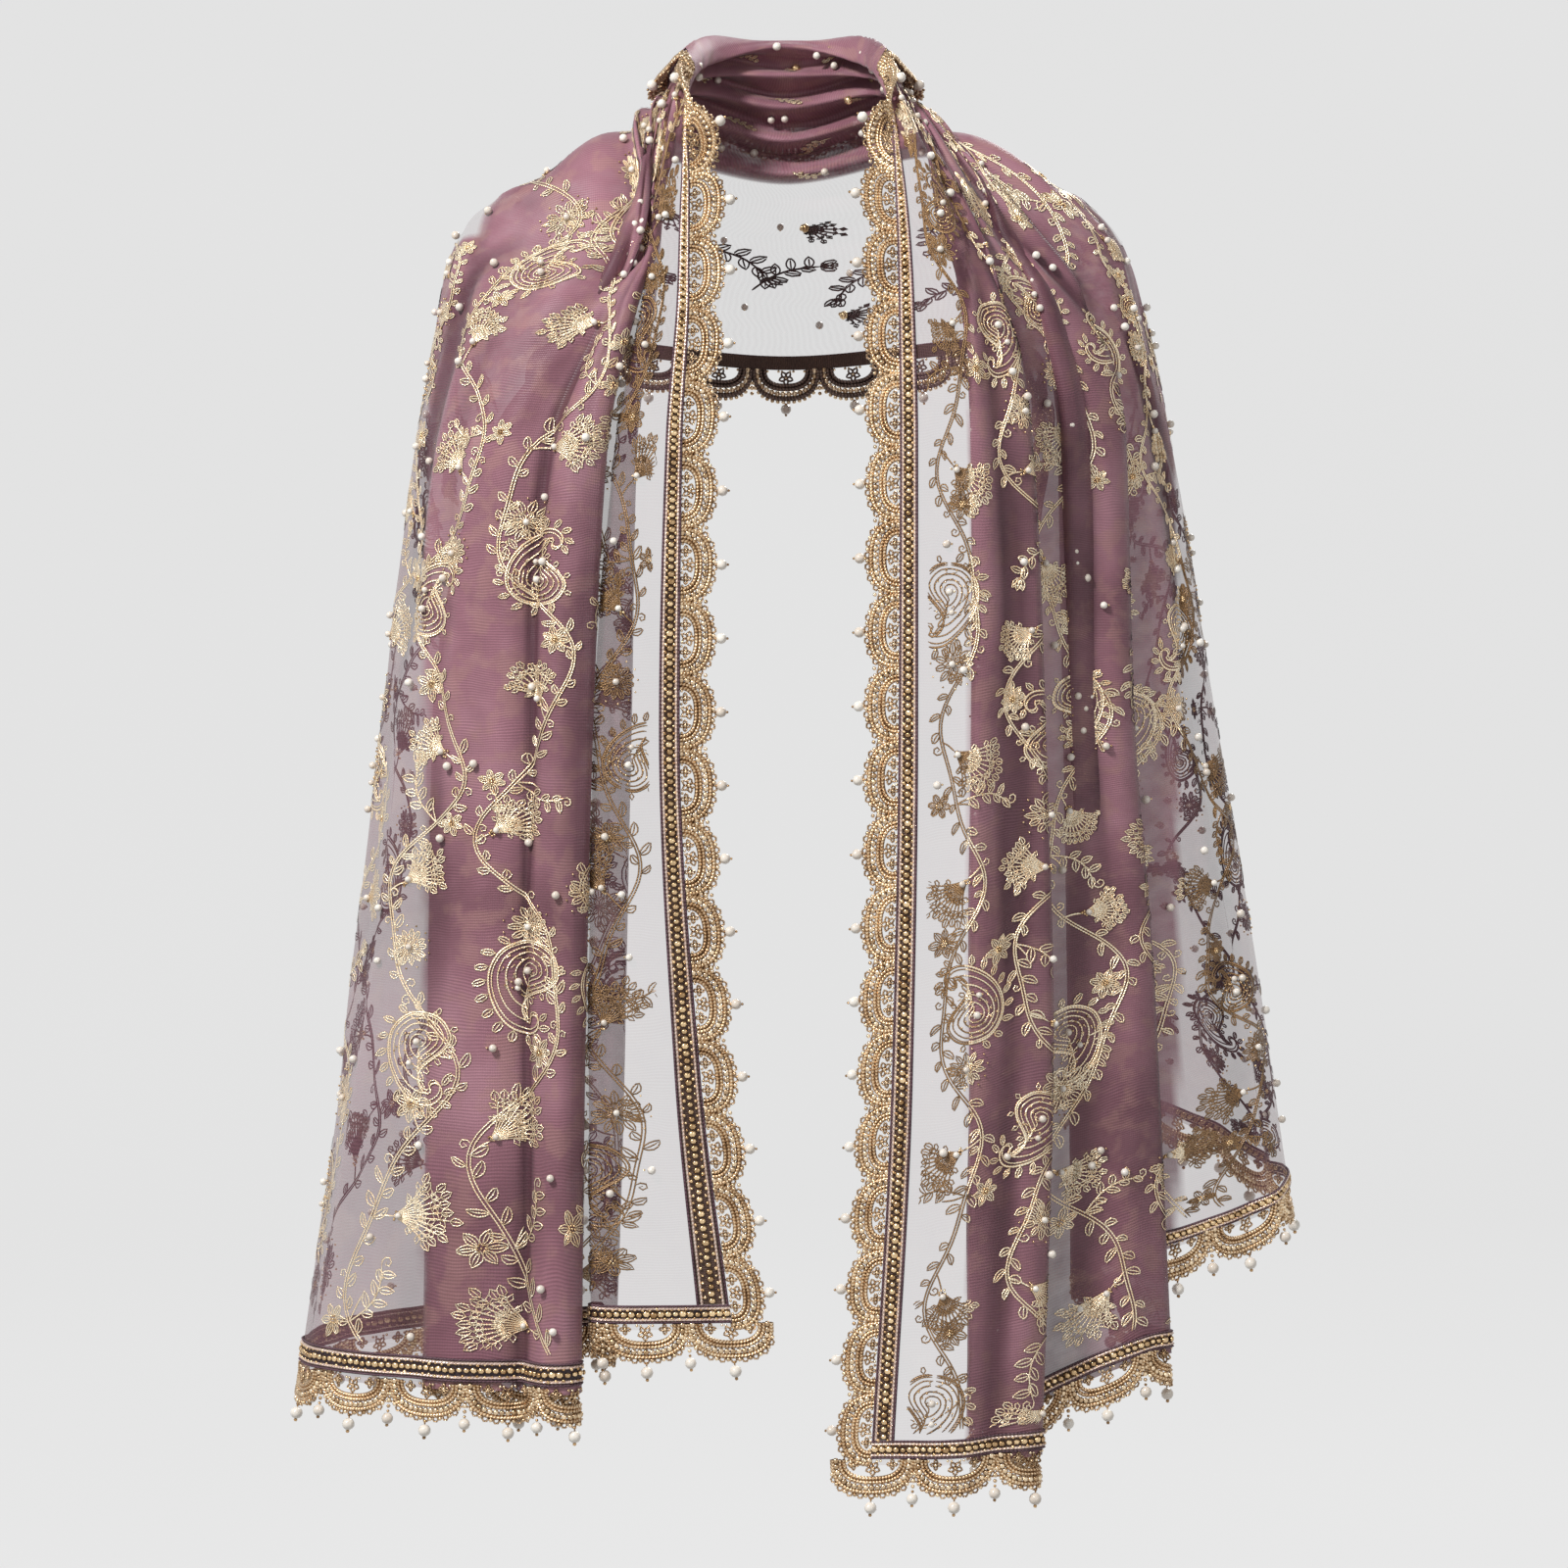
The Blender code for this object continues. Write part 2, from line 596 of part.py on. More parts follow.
def build_nape(cloth, materials, collection):
    mauve, ribbon, thread = materials
    end = CREST_RUN - CREST_GAP
    rows = sorted({sign * run for run in (*NAPE_ROWS, end) for sign in (-1, 1)})
    panel = Panel(cloth, rows, nape_columns())
    panel.make_wall("cloth_nape", mauve, collection)
    panel.make_band("band_nape", slice(None), slice(0, 3), ribbon, collection)
    panel.make_band("band_back", slice(None), slice(-2, None), ribbon, collection)
    long_edge_lace("lace_nape", panel, False, (0, 0), NAPE_SCALLOPS, thread, collection)
    long_edge_lace("lace_back", panel, True, (0, 0), None, thread, collection)


def main():
    clear_scene()
    collection = bpy.data.collections.new("dupatta")
    bpy.context.scene.collection.children.link(collection)
    ribbon = principled("beaded_ribbon", RIBBON_GOLD, 0.35, 0.8)
    thread = principled("gold_lace", LACE_GOLD, 0.4, 0.7)
    cloth = Cloth()
    falls = (
        ("left", LEFT_FOLDS, LEFT_LEVELS, INNER_LEFT_SCALLOPS),
        ("right", RIGHT_FOLDS, RIGHT_LEVELS, INNER_RIGHT_SCALLOPS),
    )
    for side, folds, levels, count in falls:
        mauve = principled(f"organza_{side}", MAUVE, 0.55)
        build_fall(cloth, side, folds, levels, count, (mauve, ribbon, thread), collection)
    build_nape(cloth, (principled("organza_nape", DEEP_MAUVE, 0.55), ribbon, thread), collection)


main()
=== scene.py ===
"""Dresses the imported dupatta: sheer cloth, gold embroidery, pearls, beaded ribbon and corded lace.

Metres, +Z up, +X to the viewer's right, -Y to the front, in the frame of the solids. The tables are in
millimetres. "run" is the distance along the cloth from the nape, negative on the left fall. "across" is the
distance over its width from the upper long edge.
"""

import math
import random
from collections import namedtuple

import bpy
import numpy as np
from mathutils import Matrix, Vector


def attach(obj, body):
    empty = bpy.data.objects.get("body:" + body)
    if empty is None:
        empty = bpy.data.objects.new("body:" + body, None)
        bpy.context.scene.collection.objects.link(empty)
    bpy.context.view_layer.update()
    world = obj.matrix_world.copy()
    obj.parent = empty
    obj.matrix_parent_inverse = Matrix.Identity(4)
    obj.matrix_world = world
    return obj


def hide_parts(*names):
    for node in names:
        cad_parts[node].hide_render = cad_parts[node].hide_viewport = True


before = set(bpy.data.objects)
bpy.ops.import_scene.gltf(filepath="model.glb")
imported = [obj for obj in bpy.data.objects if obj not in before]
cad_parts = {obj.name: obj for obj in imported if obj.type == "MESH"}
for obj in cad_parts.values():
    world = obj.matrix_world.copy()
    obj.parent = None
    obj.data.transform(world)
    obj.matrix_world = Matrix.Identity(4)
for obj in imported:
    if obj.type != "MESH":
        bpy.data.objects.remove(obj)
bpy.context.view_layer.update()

MM = 0.001

# ---- the draped surface, as in the solids ----

CLOTH_WIDTH = 860.0
ARM_X = 130.0
FLAP_DEPTH = 100.0
TURN_CLOTH = 5.0
WRAP_STEPS = 5
FLAP_SQUARENESS = 2.2
CREST_RUN = 140.0
ROLL_PITCH = 100.0
ROLL_END = 500.0
ROLL_FADE = 60.0
BAND_WIDTH = 24.0
LACE_TIP = 31.0
TURN_RUN = 215.0
NAPE_SCALLOPS = 5
HEM_SCALLOPS = 16
SCALLOP_PITCH = 56.0

Fold = namedtuple("Fold", "name across shoulder upper chest waist thigh hem hem_z arrive leave crown")
LEFT_FOLDS = (
    Fold("border", 0, 74, 74, 79, 81, 65, 41, -873, 16, 16, 5),
    Fold("tuck_edge", 68, 100, 110, 130, 146, 149, 149, -873, 16, 28, 0),
    Fold("tuck_back", 97, 91, 97, 112, 119, 126, 132, -879, 28, 40, 0),
    Fold("under_fold", 250, 121, 152, 227, 272, 277, 280, -905, 40, 22, 0),
    Fold("panel_edge", 380, 96, 113, 135, 146, 152, 155, -921, 22, 0, 6),
    Fold("valley", 435, 112, 141, 188, 200, 201, 201, -922, 12, 12, 0),
)
RIGHT_FOLDS = (
    Fold("border", 0, 84, 86, 87, 86, 81, 65, -977, 4, 4, 12),
    Fold("panel_edge", 125, 142, 172, 189, 198, 203, 197, -970, 0, 12, 0),
    Fold("under_fold", 188, 118, 130, 137, 139, 140, 138, -950, 12, 24, 0),
    Fold("middle_edge", 325, 190, 236, 262, 267, 287, 300, -900, 24, 36, 0),
    Fold("back_fold", 400, 165, 192, 210, 213, 216, 218, -836, 36, 48, 0),
)
Level = namedtuple("Level", "name run border_z side_z lower_z side_x lower_x front_y back_y layering")
LEFT_LEVELS = (
    Level("shoulder", 250, -1, -48, -215, 261, 205, -85, 88, 0.45),
    Level("upper", 350, -83, -100, -265, 271, 198, -122, 96, 0.7),
    Level("chest", 465, -194, -203, -345, 289, 190, -140, 100, 1),
    Level("waist", 690, -418, -412, -480, 312, 185, -144, 102, 1),
    Level("thigh", 950, -680, -675, -680, 347, 190, -141, 104, 1),
    Level("hem", 1145, -873, -922, -908, 384, 200, -140, 105, 1),
)
RIGHT_LEVELS = (
    Level("shoulder", 250, -1, -50, -212, 267, 205, -85, 88, 0.45),
    Level("upper", 350, -83, -98, -252, 278, 198, -120, 96, 0.7),
    Level("chest", 465, -194, -190, -305, 300, 190, -133, 100, 1),
    Level("waist", 690, -418, -372, -415, 330, 185, -138, 102, 1),
    Level("thigh", 950, -680, -575, -560, 364, 185, -137, 104, 1),
    Level("hem", 1250, -977, -779, -712, 395, 190, -135, 105, 1),
)
LEFT_SIDE_ACROSS = 610.0
RIGHT_SIDE_ACROSS = 560.0
# Each path down from the collar's top fold: (reach, x, y, z)
CREST_PATH = (
    (0, 73, 0, 95), (220, 93, 3, 75), (430, 124, 4, 53), (590, 225, 2, -18), (720, 233, 64, -72),
    (860, 204, 100, -168),
)
BLADE_PATH = (
    (0, 52, 56, 117), (220, 69, 74, 88), (430, 92, 88, 42), (590, 148, 99, -24), (810, 168, 116, -142),
)
NAPE_PATH = (
    (0, 0, 85, 126), (250, 0, 77, 66), (500, 0, 83, -2), (560, 0, 93, -26), (640, 0, 102, -72),
    (760, 0, 111, -134),
)
Collar = namedtuple("Collar", "run path turn ripple fold")
COLLAR = (
    Collar(CREST_RUN, CREST_PATH, 90, 5, 7),
    Collar(CREST_RUN / 2, BLADE_PATH, 45, 8, 9),
    Collar(0, NAPE_PATH, 0, 10.5, 10),
)
LEFT_HEM = -LEFT_LEVELS[-1].run
RIGHT_HEM = RIGHT_LEVELS[-1].run


def smooth_curve(knots, values, at, even=None):
    """Cubic curve through the values at the knots: monotone, except at the inner knots marked in "even"."""
    knots = np.asarray(knots, float)
    values = np.asarray(values, float)
    step = np.diff(knots)[:, None]
    slope = np.diff(values, axis=0) / step
    before, after = step[:-1], step[1:]
    ahead, behind = 2 * after + before, after + 2 * before
    same = slope[:-1] * slope[1:] > 0
    share = np.where(same, ahead / np.where(same, slope[:-1], 1) + behind / np.where(same, slope[1:], 1), 1)
    inner = np.where(same, (ahead + behind) / share, 0.0)
    if even is not None:
        paced = (after * slope[:-1] + before * slope[1:]) / (before + after)
        inner = np.where(even[:, None], paced, inner)
    tangent = np.vstack([slope[:1], inner, slope[-1:]])
    at = np.asarray(at, float)
    cell = np.clip(np.searchsorted(knots, at, side="right") - 1, 0, len(knots) - 2)
    width = step[cell]
    t = ((at - knots[cell])[:, None]) / width
    inside = np.clip(t, 0, 1)
    curve = (
        (2 * inside**3 - 3 * inside**2 + 1) * values[cell]
        + (inside**3 - 2 * inside**2 + inside) * width * tangent[cell]
        + (3 * inside**2 - 2 * inside**3) * values[cell + 1]
        + (inside**3 - inside**2) * width * tangent[cell + 1]
    )
    below, above = np.minimum(t, 0) * width, np.maximum(t - 1, 0) * width
    return curve + below * tangent[cell] + above * tangent[cell + 1]


def front_surface(x, level):
    turned = min(max((x - ARM_X) / (level.side_x - ARM_X), 0.0), 1.0)
    return level.front_y * math.sqrt(1 - turned * turned)


def fall_knots(folds, level, side_across):
    """The knots (across, x, y, z) of one section through a fall."""
    def height(across, fold=None):
        if fold is not None and level.name == "hem":
            return fold.hem_z
        if across <= side_across:
            start, end, share = level.border_z, level.side_z, across / side_across
            if level.name == "hem":
                start = folds[-1].hem_z
                share = (across - folds[-1].across) / (side_across - folds[-1].across)
            return start + (end - start) * share
        share = (across - side_across) / (CLOTH_WIDTH - side_across)
        return level.side_z + (level.lower_z - level.side_z) * math.sin(share * math.pi / 2) ** 2

    knots = []
    for number, fold in enumerate(folds):
        x = getattr(fold, level.name)
        z = height(fold.across, fold)
        base = front_surface(x, level)
        arrive, leave = fold.arrive * level.layering, fold.leave * level.layering
        if arrive == leave:
            knots.append((fold.across, x, base + arrive, z))
        else:
            came_from = getattr(folds[number - 1], level.name)
            half = abs(leave - arrive) / 2
            toward = math.copysign(half, x - came_from)
            cloth = max(half, TURN_CLOTH)
            knots.append((fold.across - cloth, x - toward, base + arrive, z))
            knots.append((fold.across, x, base + (arrive + leave) / 2, z))
            knots.append((fold.across + cloth, x - toward, base + leave, z))
        if fold.crown and number + 1 < len(folds):
            after = folds[number + 1]
            middle_x = (x + getattr(after, level.name)) / 2
            middle_z = (z + height(after.across, after)) / 2
            depth = (fold.leave + after.arrive) / 2 - fold.crown
            knots.append((
                (fold.across + after.across) / 2,
                middle_x,
                front_surface(middle_x, level) + depth * level.layering,
                middle_z,
            ))
    last = folds[-1]
    start_x = getattr(last, level.name)
    held_x = max(getattr(fold, level.name) for fold in folds if fold.leave <= last.leave)
    start_turn = math.asin(min((start_x - ARM_X) / (level.side_x - ARM_X), 1.0))
    for step in range(1, WRAP_STEPS + 1):
        share = step / WRAP_STEPS
        turn = start_turn + (math.pi / 2 - start_turn) * share
        across = last.across + (side_across - last.across) * share
        x = ARM_X + (level.side_x - ARM_X) * math.sin(turn)
        behind = last.leave * level.layering
        if x > held_x:
            behind *= 1 - ((x - held_x) / (level.side_x - held_x)) ** 2
        knots.append((across, x, level.front_y * math.cos(turn) + behind, height(across)))
    for step in range(1, WRAP_STEPS + 1):
        share = step / WRAP_STEPS
        turn = math.pi / 2 * (1 + share)
        across = side_across + (CLOTH_WIDTH - side_across) * share
        x = level.lower_x + (level.side_x - level.lower_x) * math.sin(turn)
        knots.append((across, x, -level.back_y * math.cos(turn), height(across)))
    return np.array(knots)


def fall_section(knots, sign, across):
    points = smooth_curve(knots[:, 0], knots[:, 1:], across)
    return points * np.array([sign, 1, 1])


def collar_section(collar, sign, reach):
    """Points at these reaches from the top fold. A negative reach is on the flap, over the rolls."""
    path = np.array(collar.path, float)
    turn = math.radians(collar.turn)
    ring = np.array([math.cos(turn), -math.sin(turn), 0.0])

    def on_path(at):
        return smooth_curve(path[:, 0], path[:, 1:], at)

    def outward(at):
        along = on_path(at + 1.0) - on_path(at - 1.0)
        normal = np.cross(ring, along)
        return normal / np.linalg.norm(normal, axis=1)[:, None]

    fine = np.linspace(0, ROLL_END, 251)
    travelled = np.concatenate([[0], np.cumsum(np.linalg.norm(np.diff(on_path(fine), axis=0), axis=1))])
    main = np.maximum(reach, 0)
    fade = np.clip((ROLL_END + ROLL_FADE - main) / ROLL_FADE, 0, 1)
    wave = -collar.ripple * fade * np.sin(2 * math.pi * main / ROLL_PITCH)
    points = on_path(main) + wave[:, None] * outward(main)
    over = np.maximum(-reach, 0)
    turned = np.minimum(over / collar.fold, math.pi)
    down = np.maximum(over - math.pi * collar.fold, 0) - collar.fold * np.sin(turned)
    under = np.where(down > 0, np.interp(down, travelled, fine), down)
    stand = collar.fold * (1 - np.cos(turned))
    flap = on_path(under) + stand[:, None] * outward(under)
    return np.where((reach < 0)[:, None], flap, points) * np.array([sign, 1, 1])


def flap_depth(run):
    share = min(abs(run) / CREST_RUN, 1.0) ** FLAP_SQUARENESS
    return FLAP_DEPTH * (0.5 + 0.5 * math.cos(math.pi * share))


# Soft creases, each a ridge (depth > 0) or a trough (depth < 0) between two places of the cloth:
# (run0, across0, run1, across1, width, depth)
CREASES = (
    # left fall, front
    (-300, 428, -1145, 437, 5, -6.0), (-330, 446, -1145, 462, 11, 3.4), (-190, 150, -520, 118, 9, 3.2),
    (-230, 40, -640, 44, 8, 1.6), (-240, 470, -760, 500, 14, 4.4), (-300, 545, -700, 575, 20, -5.0),
    (-330, 412, -620, 404, 9, 2.8), (-420, 520, -1120, 548, 22, 3.4), (-640, 472, -1145, 486, 12, -3.2),
    (-520, 590, -1000, 600, 18, 3.8), (-780, 400, -1145, 396, 8, 2.2), (-700, 30, -1100, 46, 8, 1.4),
    (-900, 510, -1145, 505, 12, 3.2), (-260, 405, -480, 470, 10, 3.0), (-230, 520, -430, 600, 12, -3.6),
    (-120, 60, -420, 210, 10, -5.5), (-115, 150, -470, 300, 11, -6.0), (-120, 250, -420, 380, 12, -5.5),
    (-125, 105, -440, 255, 8, 3.0), (-120, 200, -430, 340, 9, 3.2), (-130, 330, -330, 470, 12, -4.5),
    (-480, 300, -900, 330, 9, -3.6), (-560, 225, -1100, 240, 8, -2.6),
    # left fall, side and back
    (-230, 640, -820, 668, 20, 4.2), (-330, 715, -1130, 722, 24, -4.6), (-260, 770, -900, 784, 16, 3.4),
    (-520, 825, -1130, 812, 13, 2.6), (-640, 655, -1145, 640, 17, -3.2),
    # right fall, front
    (190, 38, 700, 52, 10, 2.0), (200, 96, 980, 88, 12, -3.2), (260, 240, 900, 256, 10, 3.0),
    (300, 285, 1150, 300, 11, -3.6), (420, 225, 1250, 232, 9, 2.4), (560, 70, 1250, 62, 13, 2.4),
    (250, 455, 800, 470, 16, 4.4), (320, 505, 1180, 520, 20, -5.0), (700, 455, 1250, 448, 14, 3.4),
    (760, 110, 1240, 104, 9, 2.4), (230, 300, 470, 268, 9, 3.2), (240, 420, 520, 560, 13, -3.4),
    (120, 60, 420, 150, 10, -5.0), (115, 150, 470, 255, 11, -6.0), (120, 250, 430, 350, 12, -5.5),
    (125, 105, 440, 200, 8, 3.0), (120, 200, 430, 300, 9, 3.2), (130, 330, 330, 440, 12, -4.5),
    (460, 345, 1000, 372, 10, -4.0), (640, 200, 1200, 190, 8, -2.6),
    # right fall, side and back
    (240, 600, 760, 622, 20, 4.4), (340, 668, 1200, 680, 24, -4.6), (260, 735, 900, 742, 17, 3.6),
    (600, 800, 1240, 806, 14, 2.8), (700, 610, 1250, 596, 18, -3.4),
    # nape, shoulders and upper back
    (-130, 560, -20, 690, 14, 3.2), (20, 700, 130, 580, 15, -3.0), (-125, 640, 60, 735, 11, 3.6),
    (-60, 690, 130, 672, 9, 3.0), (-210, 470, -90, 640, 12, 2.8), (90, 650, 215, 480, 12, 3.0),
    (-50, 150, 60, 172, 8, 2.2), (-95, 285, 30, 262, 9, 2.0), (-20, 395, 110, 372, 9, 2.4),
    (-200, 330, -60, 350, 9, 2.0), (70, 300, 210, 340, 9, -2.0), (-30, 455, 95, 470, 9, -2.2),
)
# Broad pleats that run down both falls: width and height, and how they sway along the cloth
Pleat = namedtuple("Pleat", "width height phase sway roam")
PLEATS = (
    Pleat(37, 0.75, 0.4, 1.7, 170), Pleat(59, 1.2, 1.9, 1.3, 240), Pleat(83, 1.3, 3.3, 1.5, 310),
    Pleat(131, 1.5, 5.1, 1.2, 420),
)
CREASE_FADE = 0.22  # share of a crease over which its ends fade out
CREASE_WANDER = 0.35  # how far a crease strays, in its own widths
WANDER_RUN = 47.0
GATHER_RUN, GATHER_SPREAD, GATHER_LIFT = 190.0, 75.0, 1.3  # the puckers over the shoulders
GATHER_END, GATHER_FADE = 430.0, 120.0
PUCKER_ACROSS, PUCKER_RUN = 5.2, 60.0
PLEAT_RUN, PLEAT_FADE = 110.0, 120.0  # the pleats begin this far from the nape
EDGE_CALM = 30.0  # creases die away this near to a ribbon
EDGE_SHARE = 0.15  # what is left of them there


def eased(share):
    share = np.clip(share, 0, 1)
    return share * share * (3 - 2 * share)


def creased(runs, across):
    """How far the small creases lift each place of a grid."""
    lift = np.zeros((len(runs), len(across)))
    for run0, across0, run1, across1, width, depth in CREASES:
        share = (runs - run0) / (run1 - run0)
        ends = eased(share / CREASE_FADE)
        ends *= share <= 1.001 if run1 in (LEFT_HEM, RIGHT_HEM) else eased((1 - share) / CREASE_FADE)
        wander = CREASE_WANDER * width * np.sin(runs / WANDER_RUN + across0)
        middle = across0 + (across1 - across0) * np.clip(share, 0, 1) + wander
        off = (across[None, :] - middle[:, None]) / width
        lift += depth * ends[:, None] * np.exp(-off * off)
    gathered = np.exp(-((np.abs(runs) - GATHER_RUN) / GATHER_SPREAD) ** 2)[:, None]
    inner = eased((GATHER_END - across) / GATHER_FADE)[None, :]
    puckers = np.sin(across[None, :] / PUCKER_ACROSS + runs[:, None] / PUCKER_RUN)
    lift += GATHER_LIFT * gathered * inner * puckers
    fallen = eased((np.abs(runs) - PLEAT_RUN) / PLEAT_FADE)[:, None]
    for pleat in PLEATS:
        phase = pleat.phase + pleat.sway * np.sin(runs / pleat.roam + pleat.phase)[:, None]
        lift += pleat.height * fallen * np.sin(math.tau * across[None, :] / pleat.width + phase)
    edge = eased(np.minimum(across - BAND_WIDTH, CLOTH_WIDTH - BAND_WIDTH - across) / EDGE_CALM)
    return lift * (EDGE_SHARE + (1 - EDGE_SHARE) * edge)[None, :]


def unit(vectors):
    return vectors / np.maximum(np.linalg.norm(vectors, axis=-1), 1e-9)[..., None]


def travelled(line):
    return np.concatenate([[0], np.cumsum(np.linalg.norm(np.diff(line, axis=0), axis=1))])


class Cloth:
    """The draped sheet: points at (run, across), from sections set along its length."""

    def __init__(self):
        self.runs, self.sections = [], []
        left = [(-level.run, fall_knots(LEFT_FOLDS, level, LEFT_SIDE_ACROSS)) for level in LEFT_LEVELS]
        right = [(level.run, fall_knots(RIGHT_FOLDS, level, RIGHT_SIDE_ACROSS)) for level in RIGHT_LEVELS]
        for run, knots in reversed(left):
            self.add(run, lambda across, reach, knots=knots: fall_section(knots, -1, across))
        for sign, collars in ((-1, COLLAR), (1, COLLAR[-2::-1])):
            for collar in collars:
                self.add(sign * collar.run,
                         lambda across, reach, collar=collar, sign=sign: collar_section(collar, sign, reach))
        for run, knots in right:
            self.add(run, lambda across, reach, knots=knots: fall_section(knots, 1, across))

    def add(self, run, section):
        self.runs.append(run)
        self.sections.append(section)

    def row(self, run, across):
        across = np.asarray(across, float)
        reach = across - flap_depth(run)
        stack = np.array([section(across, reach) for section in self.sections])
        flat = stack.reshape(len(self.runs), -1)
        even = np.abs(self.runs[1:-1]) <= CREST_RUN
        return smooth_curve(self.runs, flat, [run], even).reshape(len(across), 3)

    def grid(self, runs, across):
        return np.array([self.row(run, across) for run in runs])


class Patch:
    """A grid of points with normals, read at any (a, b) between them."""

    def __init__(self, a_marks, b_marks, points, normals=None):
        self.a, self.b = np.asarray(a_marks, float), np.asarray(b_marks, float)
        self.points = points
        if normals is None:
            along = np.gradient(points, self.a, axis=0)
            over = np.gradient(points, self.b, axis=1)
            normals = unit(np.cross(along, over))
        self.normals = normals

    def read(self, field, a, b):
        a, b = np.asarray(a, float), np.asarray(b, float)
        i = np.clip(np.searchsorted(self.a, a, side="right") - 1, 0, len(self.a) - 2)
        j = np.clip(np.searchsorted(self.b, b, side="right") - 1, 0, len(self.b) - 2)
        u = np.clip((a - self.a[i]) / (self.a[i + 1] - self.a[i]), 0, 1)
        v = np.clip((b - self.b[j]) / (self.b[j + 1] - self.b[j]), 0, 1)
        if field.ndim > 2:
            u, v = u[..., None], v[..., None]
        near = field[i, j] * (1 - v) + field[i, j + 1] * v
        return near * (1 - u) + (field[i + 1, j] * (1 - v) + field[i + 1, j + 1] * v) * u

    def at(self, a, b):
        return self.read(self.points, a, b), unit(self.read(self.normals, a, b))

    def frames(self, a, b, lift):
        """Lifted centres and (along, over, normal) directions at these places."""
        here, normal = self.at(a, b)
        ahead, _ = self.at(np.asarray(a) + 0.5, b)
        behind, _ = self.at(np.asarray(a) - 0.5, b)
        along = ahead - behind
        along = unit(along - normal * np.sum(along * normal, axis=-1, keepdims=True))
        lift = np.broadcast_to(np.asarray(lift, float), np.shape(a))
        return here + normal * lift[..., None], np.stack([along, np.cross(normal, along), normal], axis=1)


# ---- meshes ----


class Heap:
    """Faces gathered for one piece, with a uv for each point and a material for each face."""

    def __init__(self):
        self.points, self.uvs, self.faces, self.slots = [], [], {3: [], 4: []}, {3: [], 4: []}
        self.count = 0

    def add(self, points, uvs, faces, slot=0):
        """faces is a list of arrays of triangles or of quads."""
        for some in faces:
            corners = some.shape[1]
            self.faces[corners].append(some + self.count)
            self.slots[corners].append(np.broadcast_to(slot, len(some)))
        self.points.append(points)
        self.uvs.append(uvs)
        self.count += len(points)

    def build(self, name, materials):
        points, uvs = np.concatenate(self.points) * MM, np.concatenate(self.uvs)
        quads, tris = (np.concatenate(self.faces[n] + [np.zeros((0, n), int)]) for n in (4, 3))
        slots = np.concatenate(self.slots[4] + self.slots[3])
        loops = np.concatenate([quads.ravel(), tris.ravel()])
        starts = np.concatenate([np.arange(len(quads)) * 4, len(quads) * 4 + np.arange(len(tris)) * 3])
        mesh = bpy.data.meshes.new(name)
        mesh.vertices.add(len(points))
        mesh.vertices.foreach_set("co", points.astype(np.float32).ravel())
        mesh.loops.add(len(loops))
        mesh.loops.foreach_set("vertex_index", loops.astype(np.int32))
        mesh.polygons.add(len(starts))
        mesh.polygons.foreach_set("loop_start", starts.astype(np.int32))
        mesh.polygons.foreach_set("material_index", slots.astype(np.int32))
        layer = mesh.uv_layers.new(name="cut")
        layer.data.foreach_set("uv", uvs[loops].astype(np.float32).ravel())
        mesh.update()
        mesh.validate()
        mesh.shade_smooth()
        for material in materials:
            mesh.materials.append(material)
        obj = bpy.data.objects.new(name, mesh)
        bpy.context.scene.collection.objects.link(obj)
        print(name, len(quads) * 2 + len(tris), "triangles")
        return obj


def resampled(path, step):
    """The path with even steps of about this length."""
    path = np.asarray(path, float)
    length = travelled(path)
    count = max(2, int(round(length[-1] / step)) + 1)
    at = np.linspace(0, length[-1], count)
    return np.stack([np.interp(at, length, path[:, k]) for k in range(2)], axis=1)


def ring_of(sides):
    """A cord's section, turned so that a corner is on top."""
    return tuple((math.cos(math.pi / 2 + math.tau * k / sides), math.sin(math.pi / 2 + math.tau * k / sides))
                 for k in range(sides))


RING3, RING4 = ring_of(3), ring_of(4)


def cord(heap, patch, path, radius, lift=0.0, ring=RING4, closed=False, slot=0):
    """A cord along a path of (a, b) places on a patch. slot may be one for each side of the ring."""
    path = np.asarray(path, float)
    base, normal = patch.at(path[:, 0], path[:, 1])
    centre = base + normal * lift
    if closed:
        tangent = unit(np.roll(centre, -1, axis=0) - np.roll(centre, 1, axis=0))
    else:
        tangent = unit(np.gradient(centre, axis=0))
    side = unit(np.cross(tangent, normal))
    up = np.cross(side, tangent)
    count, sides = len(centre), len(ring)
    section = np.array(ring, float) * radius
    points = centre[:, None] + section[None, :, :1] * side[:, None] + section[None, :, 1:] * up[:, None]
    u = np.repeat(travelled(centre)[:, None], sides, axis=1)
    v = np.repeat(np.arange(sides)[None] / sides, count, axis=0)
    here = np.arange(count if closed else count - 1)[:, None]
    after = (here + 1) % count
    around = np.arange(sides)[None]
    nxt = (around + 1) % sides
    quads = np.stack([
        here * sides + around, here * sides + nxt, after * sides + nxt, after * sides + around,
    ], axis=-1).reshape(-1, 4)
    slots = np.tile(slot, len(here)) if hasattr(slot, "__len__") else slot
    heap.add(points.reshape(-1, 3), np.stack([u.ravel(), v.ravel()], axis=1), [quads], slots)


def ball_shape(rings, sides):
    """A unit ball's points, quads and end triangles."""
    points = [(0.0, 0.0, -1.0)]
    for r in range(1, rings):
        tilt = math.pi * (r / rings - 0.5)
        for s in range(sides):
            turn = math.tau * (s + 0.5 * (r % 2)) / sides
            points.append((math.cos(tilt) * math.cos(turn), math.cos(tilt) * math.sin(turn), math.sin(tilt)))
    points.append((0.0, 0.0, 1.0))
    quads, tris = [], []
    last = 1 + (rings - 2) * sides
    for s in range(sides):
        n = (s + 1) % sides
        tris += [(0, 1 + n, 1 + s), (len(points) - 1, last + s, last + n)]
        for r in range(rings - 2):
            here, above = 1 + r * sides, 1 + (r + 1) * sides
            quads.append((here + s, here + n, above + n, above + s))
    return np.array(points), np.array(quads), np.array(tris)


